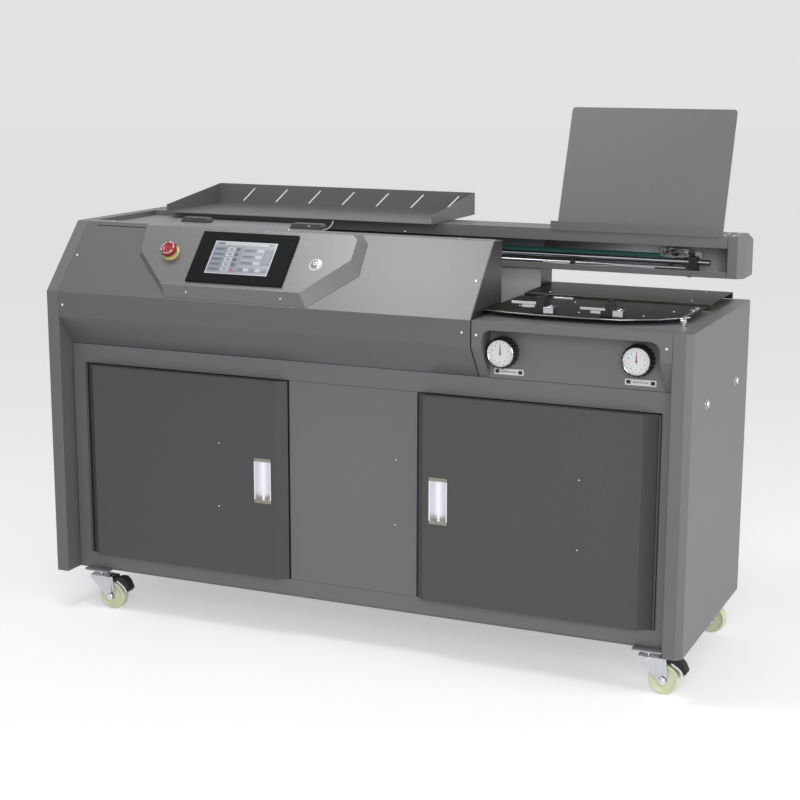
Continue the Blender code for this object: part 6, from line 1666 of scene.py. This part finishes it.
@dataclass
class DialKnobs(SubAssembly):
    """Two ribbed knobs with white dials, and the plates under them."""

    radius: float = 0.032
    dial: float = 0.0262
    ribs: int = 20
    plates: dict = field(default_factory=lambda: {"left": (0.3455, 0.0497, 0.630),
                                                  "right": (0.6180, 0.0497, 0.630)})
    ticks: int = 50
    tick_end: float = 0.0240
    # Radius where a tick begins, and its half width
    long_tick: Pair = (0.0206, 0.00032)
    short_tick: Pair = (0.0222, 0.00016)
    digit_ring: float = 0.0176

    def details(self) -> None:
        """Build both knobs and both plates."""
        for side in LEFT_AND_RIGHT:
            self.knob(side)
            self.plate(side)

    def knob(self, side: str) -> None:
        """Ribbed body, bright ring, white face, ticks with numbers, and a red pointer."""
        node = side + "_dial_knob"
        body = body_holding(node)
        low, high = span_of(node)
        x, z = (low[0] + high[0]) / 2, (low[2] + high[2]) / 2
        place = Placement((x, low[1], z), *FACING_FRONT)
        r, d = self.radius, self.dial
        skirt = lathe(((0.006, -0.0335), (0.0270, -0.0330), (0.0300, -0.0310), (r, -0.0270), (r, -0.0050),
                       (r - 0.0010, -0.0030), (d + 0.0018, -0.0016), (d + 0.0008, -0.0024), (0.0, -0.0024),
                       (0.0, -0.0026)), 240, flutes=self.ribs, depth=0.0030)
        put(side + "_knob_body", place.place(skirt), Finish.BLACK, body, [node], angle=40.0)
        shaft = lathe(rectangle(0.0, 0.0058, -0.0600, -0.0330), 32)
        put(side + "_knob_shaft", place.place(shaft), Finish.ZINC, body)
        ring = lathe(((d - 0.0010, -0.0022), (d + 0.0012, -0.0022), (d + 0.0014, -0.0010),
                      (d + 0.0006, -0.0001), (d - 0.0004, -0.0004), (d - 0.0010, -0.0012)), 96, ring=True)
        put(side + "_knob_ring", place.place(ring), Finish.CHROME, body)
        face = lathe(rectangle(0.0, d - 0.0004, -0.0024, -0.0016), 96)
        put(side + "_dial_face", place.place(face), Finish.DIAL_WHITE, body)
        marks = []
        for index in range(self.ticks):
            turn = 2 * math.pi * index / self.ticks
            inner, half = self.short_tick if index % 5 else self.long_tick
            spoke = rectangle(inner, self.tick_end, -half, half)
            turned = spoke @ np.array([[math.cos(turn), math.sin(turn)], [-math.sin(turn), math.cos(turn)]])
            marks.append(extrusion(turned, -0.0018, -0.00145))
        for digit in range(10):
            turn = math.pi / 2 - 2 * math.pi * digit / 10
            points, faces = lettering(str(digit), 0.0050, 0.0001)
            offset = np.array([self.digit_ring * math.cos(turn), self.digit_ring * math.sin(turn), -0.0015])
            marks.append((points + offset, faces))
        put(side + "_dial_marks", place.place(joined(*marks)), Finish.BLACK, body)
        needle = [(-0.0008, -0.004), (0.0008, -0.004), (0.0011, 0.006), (0.0003, 0.0165), (-0.0003, 0.0165),
                  (-0.0011, 0.006)]
        hub = lathe(((0.0, -0.0016), (0.0020, -0.0016), (0.0020, -0.0008), (0.0014, -0.0004), (0.0, -0.0004)),
                    32)
        pointer = joined(extrusion(needle, -0.0014, -0.0009), hub)
        put(side + "_dial_pointer", place.place(pointer), Finish.RED, body)

    def plate(self, side: str) -> None:
        """White plate with plain end marks and a row of dots."""
        place = Placement(self.plates[side], *FACING_FRONT)
        plate = block((0.063, 0.0125, 0.0008), (0, 0, 0.0004), 0.0015)
        put(side + "_knob_plate", place.place(plate), Finish.WHITE, "machine")
        marks = [block((0.0085, 0.0072, 0.0003), (sign * 0.0245, 0.0, 0.0009), 0.0012) for sign in (-1, 1)]
        marks += [block((0.0026, 0.0022, 0.0003), (0.0046 * index, 0.0, 0.0009), 0.0008)
                  for index in range(-3, 4)]
        put(side + "_plate_marks", place.place(joined(*marks)), Finish.BLACK, "machine")


@dataclass
class Casters(SubAssembly):
    """Four casters: plate, fork, wheel with its hub, and pedals on the front ones."""

    wheel: float = 0.032
    half_width: float = 0.012
    # The pin from the pedal's left end and from its top
    eye: Pair = (0.00385, 0.00304)
    eye_radii: Pair = (0.0024, 0.0043)
    arm_reach: float = 0.0448
    arm_drop: float = 0.028
    arm_shares: Sequence[Pair] = ((0.07, 0.11), (0.09, 0.11), (0.32, 0.10), (0.40, 0.21), (0.72, 0.21),
                                  (0.93, -0.12), (1.07, -0.60), (1.07, -0.74), (0.90, -1.02),
                                  (0.72, -0.58), (0.38, -0.21), (0.11, -0.13), (0.07, -0.10))
    cheek_shares: Sequence[Pair] = ((0.36, -0.06), (0.46, -0.10), (0.82, -0.50), (0.99, -0.97), (0.90, -1.02),
                                    (0.72, -0.58), (0.38, -0.21))
    plate_sheet: float = 0.0018
    race_gap: float = 0.0002
    # Radii of the lips and of the groove between them
    race: Pair = (0.0172, 0.0160)
    # How far a cheek reaches out of the arm, and into it
    cheek: Pair = (0.0012, 0.0004)

    def details(self) -> None:
        """Dress each caster in turn."""
        for place in CORNERS:
            self.raceway(place)
            refined("caster_fork_" + place, Finish.ZINC, 0.0005)
            self.roller(place)
            if place.startswith("front"):
                self.pedal(place)

    def raceway(self, place: str) -> None:
        """Thin bolt plate, and the bright ball race under it, turned with a groove between its two lips."""
        node = "caster_plate_" + place
        body = body_holding(node)
        low, high = span_of(node)
        bottom = span_of("caster_fork_" + place)[1][2] + self.race_gap
        under, top = high[2] - self.plate_sheet, high[2]
        plate = extrusion(rectangle(low[0], high[0], low[1], high[1], radius=0.004), under, top)
        lip, groove = self.race
        race = lathe(((0.0, bottom), (0.0165, bottom), (lip, bottom + 0.0005), (lip, bottom + 0.0012),
                      (groove, bottom + 0.0017), (lip, bottom + 0.0022), (lip, under), (0.0, under)), 64)
        middle = Placement(((low[0] + high[0]) / 2, (low[1] + high[1]) / 2, 0.0), *FACING_UP)
        put("caster_top_" + place, plate, Finish.ZINC, body, [node], edge=0.0003)
        put("caster_race_" + place, middle.place(race), Finish.CHROME, body, angle=40.0)

    def pedal(self, place: str) -> None:
        """Brake pedal: an eye on its pin, a curved arm that drops outwards, and two bright cheeks."""
        node = "brake_pedal_" + place
        low, high = span_of(node)
        x, z = low[0] + self.eye[0], high[2] - self.eye[1]
        size = np.array([self.arm_reach, self.arm_drop])
        arm = np.array(self.arm_shares) * size
        half = (high[1] - low[1]) / 2
        pivot = Placement((x, (low[1] + high[1]) / 2, z), *FACING_FRONT)
        ring = lathe(rectangle(*self.eye_radii, -half, half), 32, ring=True)
        put("pedal_" + place, pivot.place(joined(extrusion(arm, -half, half), ring)), Finish.RUBBER,
            body_holding(node), [node], edge=0.0006)
        edge = np.array(self.cheek_shares) * size
        outside, inside = half + self.cheek[0], half - self.cheek[1]
        cheeks = joined(extrusion(edge, inside, outside), extrusion(edge, -outside, -inside))
        put("pedal_cheeks_" + place, pivot.place(cheeks), Finish.CHROME, body_holding(node), edge=0.0003)

    def roller(self, place: str) -> None:
        """Nylon wheel: rounded tread, dished sides with a raised hub, and a cap at both ends of the axle."""
        node = "caster_wheel_" + place
        x, y, z = centre_of(node)
        r, w = self.wheel, self.half_width
        side = ((0.0041, w), (0.0085, w), (0.0095, w - 0.0006), (0.0105, w - 0.0026), (0.0210, w - 0.0032),
                (0.0245, w - 0.0024), (0.0262, w - 0.0004), (0.0272, w), (0.0285, w - 0.0002),
                (0.0304, w - 0.0014), (r - 0.0004, w - 0.0040), (r, w - 0.0062), (r, 0.0))
        profile = list(side) + [(radius, -height) for radius, height in side[-2::-1]]
        turned = Placement((x, y, z), *FACING_FRONT).place(lathe(profile, 96, ring=True))
        put("wheel_" + place, turned, Finish.WHEEL, body_holding(node), [node], angle=40.0)
        cap = lathe(((0.0, 0.0), (0.0078, 0.0), (0.0078, 0.0012), (0.0066, 0.0026), (0.0040, 0.0038),
                     (0.0, 0.0042)), 32)
        front, back = (corner[1] for corner in span_of("caster_fork_" + place))
        ends = [Placement((x, front, z), *FACING_FRONT), Placement((x, back, z), *FACING_REAR)]
        put("axle_caps_" + place, copies(cap, ends), Finish.SCREW, "swivel_" + place)


# Studio


def seen_directly(board: NodeBoard) -> bpy.types.NodeSocket:
    """Share that is 1 for what the camera sees, also in metal and through glass, and 0 for what lights."""
    path = board.add("ShaderNodeLightPath")
    mirrored = board.maths("MAXIMUM", path.outputs["Is Glossy Ray"], path.outputs["Is Transmission Ray"])
    return board.maths("MAXIMUM", path.outputs["Is Camera Ray"], mirrored)


@dataclass
class Studio:
    """Floor, soft lamps, pale surroundings and the camera of the photo's view."""

    position: Triple = (1.4761, -3.0767, 1.2648)
    azimuth: float = 23.657
    elevation: float = 11.804
    roll: float = 0.143
    focal_pixels: float = 1680.1
    picture_width: float = 800.0
    sensor: float = 36.0
    floor_radius: float = 24.0
    floor_drop: float = 0.0002
    floor_glow: float = 0.42
    light_on_machine: Sequence[float] = (0.36, 0.36, 0.37, 1.0)
    seen_surroundings: Sequence[float] = (0.765, 0.765, 0.775, 1.0)

    def build(self) -> None:
        """Build the whole studio."""
        self.floor()
        self.world()
        self.lamps()
        self.camera()
        scene = bpy.context.scene
        scene.view_settings.view_transform = "Standard"

    def floor(self) -> None:
        """Large pale disc, a little below the wheels."""
        surface = lathe(((0.0, 0.0), (self.floor_radius, 0.0)), 96)
        lowered = surface[0] - np.array([0.0, 0.0, self.floor_drop])
        floor = bpy.data.objects.new("studio_floor", mesh_of("studio_floor", (lowered, surface[1])))
        bpy.context.scene.collection.objects.link(floor)
        coat = Plastic("studio_floor_finish", (226, 226, 227), "", gloss=0.75, grain=60.0, relief=0.02)
        material = coat.material()
        board = NodeBoard(material.node_tree)
        shader = material.node_tree.nodes["Principled BSDF"]
        shader.inputs["Emission Color"].default_value = (1.0, 1.0, 1.0, 1.0)
        glow = board.maths("MULTIPLY", seen_directly(board), self.floor_glow)
        board.feed(shader.inputs["Emission Strength"], glow)
        floor.data.materials.append(material)

    def world(self) -> None:
        """Pale surroundings for the camera and for reflections, dimmer as a light."""
        world = bpy.data.worlds.new("studio_surroundings")
        bpy.context.scene.world = world
        world.use_nodes = True
        board = NodeBoard(world.node_tree)
        background = world.node_tree.nodes["Background"]
        tint = board.mixed(seen_directly(board), self.light_on_machine, self.seen_surroundings)
        board.feed(background.inputs["Color"], tint)
        background.inputs["Strength"].default_value = 1.0

    def lamps(self) -> None:
        """Three soft lamps: one above, one at the front left, one at the right."""
        self.lamp("overhead_softbox", (-0.62, -0.69, 2.60), (-0.1, 0.0, 0.6), (0.8, 0.7), 16.2)
        self.lamp("front_softbox", (1.6, -3.4, 1.7), (0.2, 0.0, 0.4), (1.6, 1.6), 42.0)
        self.lamp("right_softbox", (3.0, -0.4, 1.3), (0.5, 0.0, 0.5), (1.4, 1.4), 26.0)

    def lamp(self, name: str, place: Triple, aim: Triple, size: Pair, power: float) -> None:
        """Add one rectangular lamp.

        Args:
            name: name of the lamp.
            place: where it hangs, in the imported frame.
            aim: the point that it faces.
            size: width and height.
            power: watts.
        """
        data = bpy.data.lights.new(name, "AREA")
        data.shape = "RECTANGLE"
        data.size, data.size_y = size
        data.energy = power
        lamp = bpy.data.objects.new(name, data)
        lamp.location = place
        lamp.rotation_mode = "QUATERNION"
        lamp.rotation_quaternion = (Vector(aim) - Vector(place)).to_track_quat("-Z", "Y")
        bpy.context.scene.collection.objects.link(lamp)

    def camera(self) -> None:
        """Camera at the place, direction and roll found from the photo's edges."""
        az, el, ro = (math.radians(value) for value in (self.azimuth, self.elevation, self.roll))
        forward = Vector((-math.sin(az) * math.cos(el), math.cos(az) * math.cos(el), -math.sin(el)))
        right = Vector((math.cos(az), math.sin(az), 0.0))
        up = right.cross(forward)
        right, up = (right * math.cos(ro) + up * math.sin(ro), up * math.cos(ro) - right * math.sin(ro))
        x, y, z = self.position
        matrix = Matrix((right, up, -forward)).transposed().to_4x4()
        matrix.translation = Vector((x, y + FRONT, z))
        data = bpy.data.cameras.new("photo_camera")
        data.lens = self.focal_pixels / self.picture_width * self.sensor
        data.sensor_width = self.sensor
        data.clip_start = 0.05
        data.clip_end = 120.0
        camera = bpy.data.objects.new("photo_camera", data)
        camera.matrix_world = matrix
        bpy.context.scene.collection.objects.link(camera)
        bpy.context.scene.camera = camera


def main() -> None:
    """Dress every sub-assembly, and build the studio."""
    logging.basicConfig(level=logging.INFO)
    for part in (Cabinet, Doors, Hood, TopDeck, BeamDrive, ProcessUnits, TableSection, DialKnobs, Casters):
        part().dress()
        LOG.info("%s dressed", part.__name__)
    Studio().build()


if __name__ == "__main__":
    main()
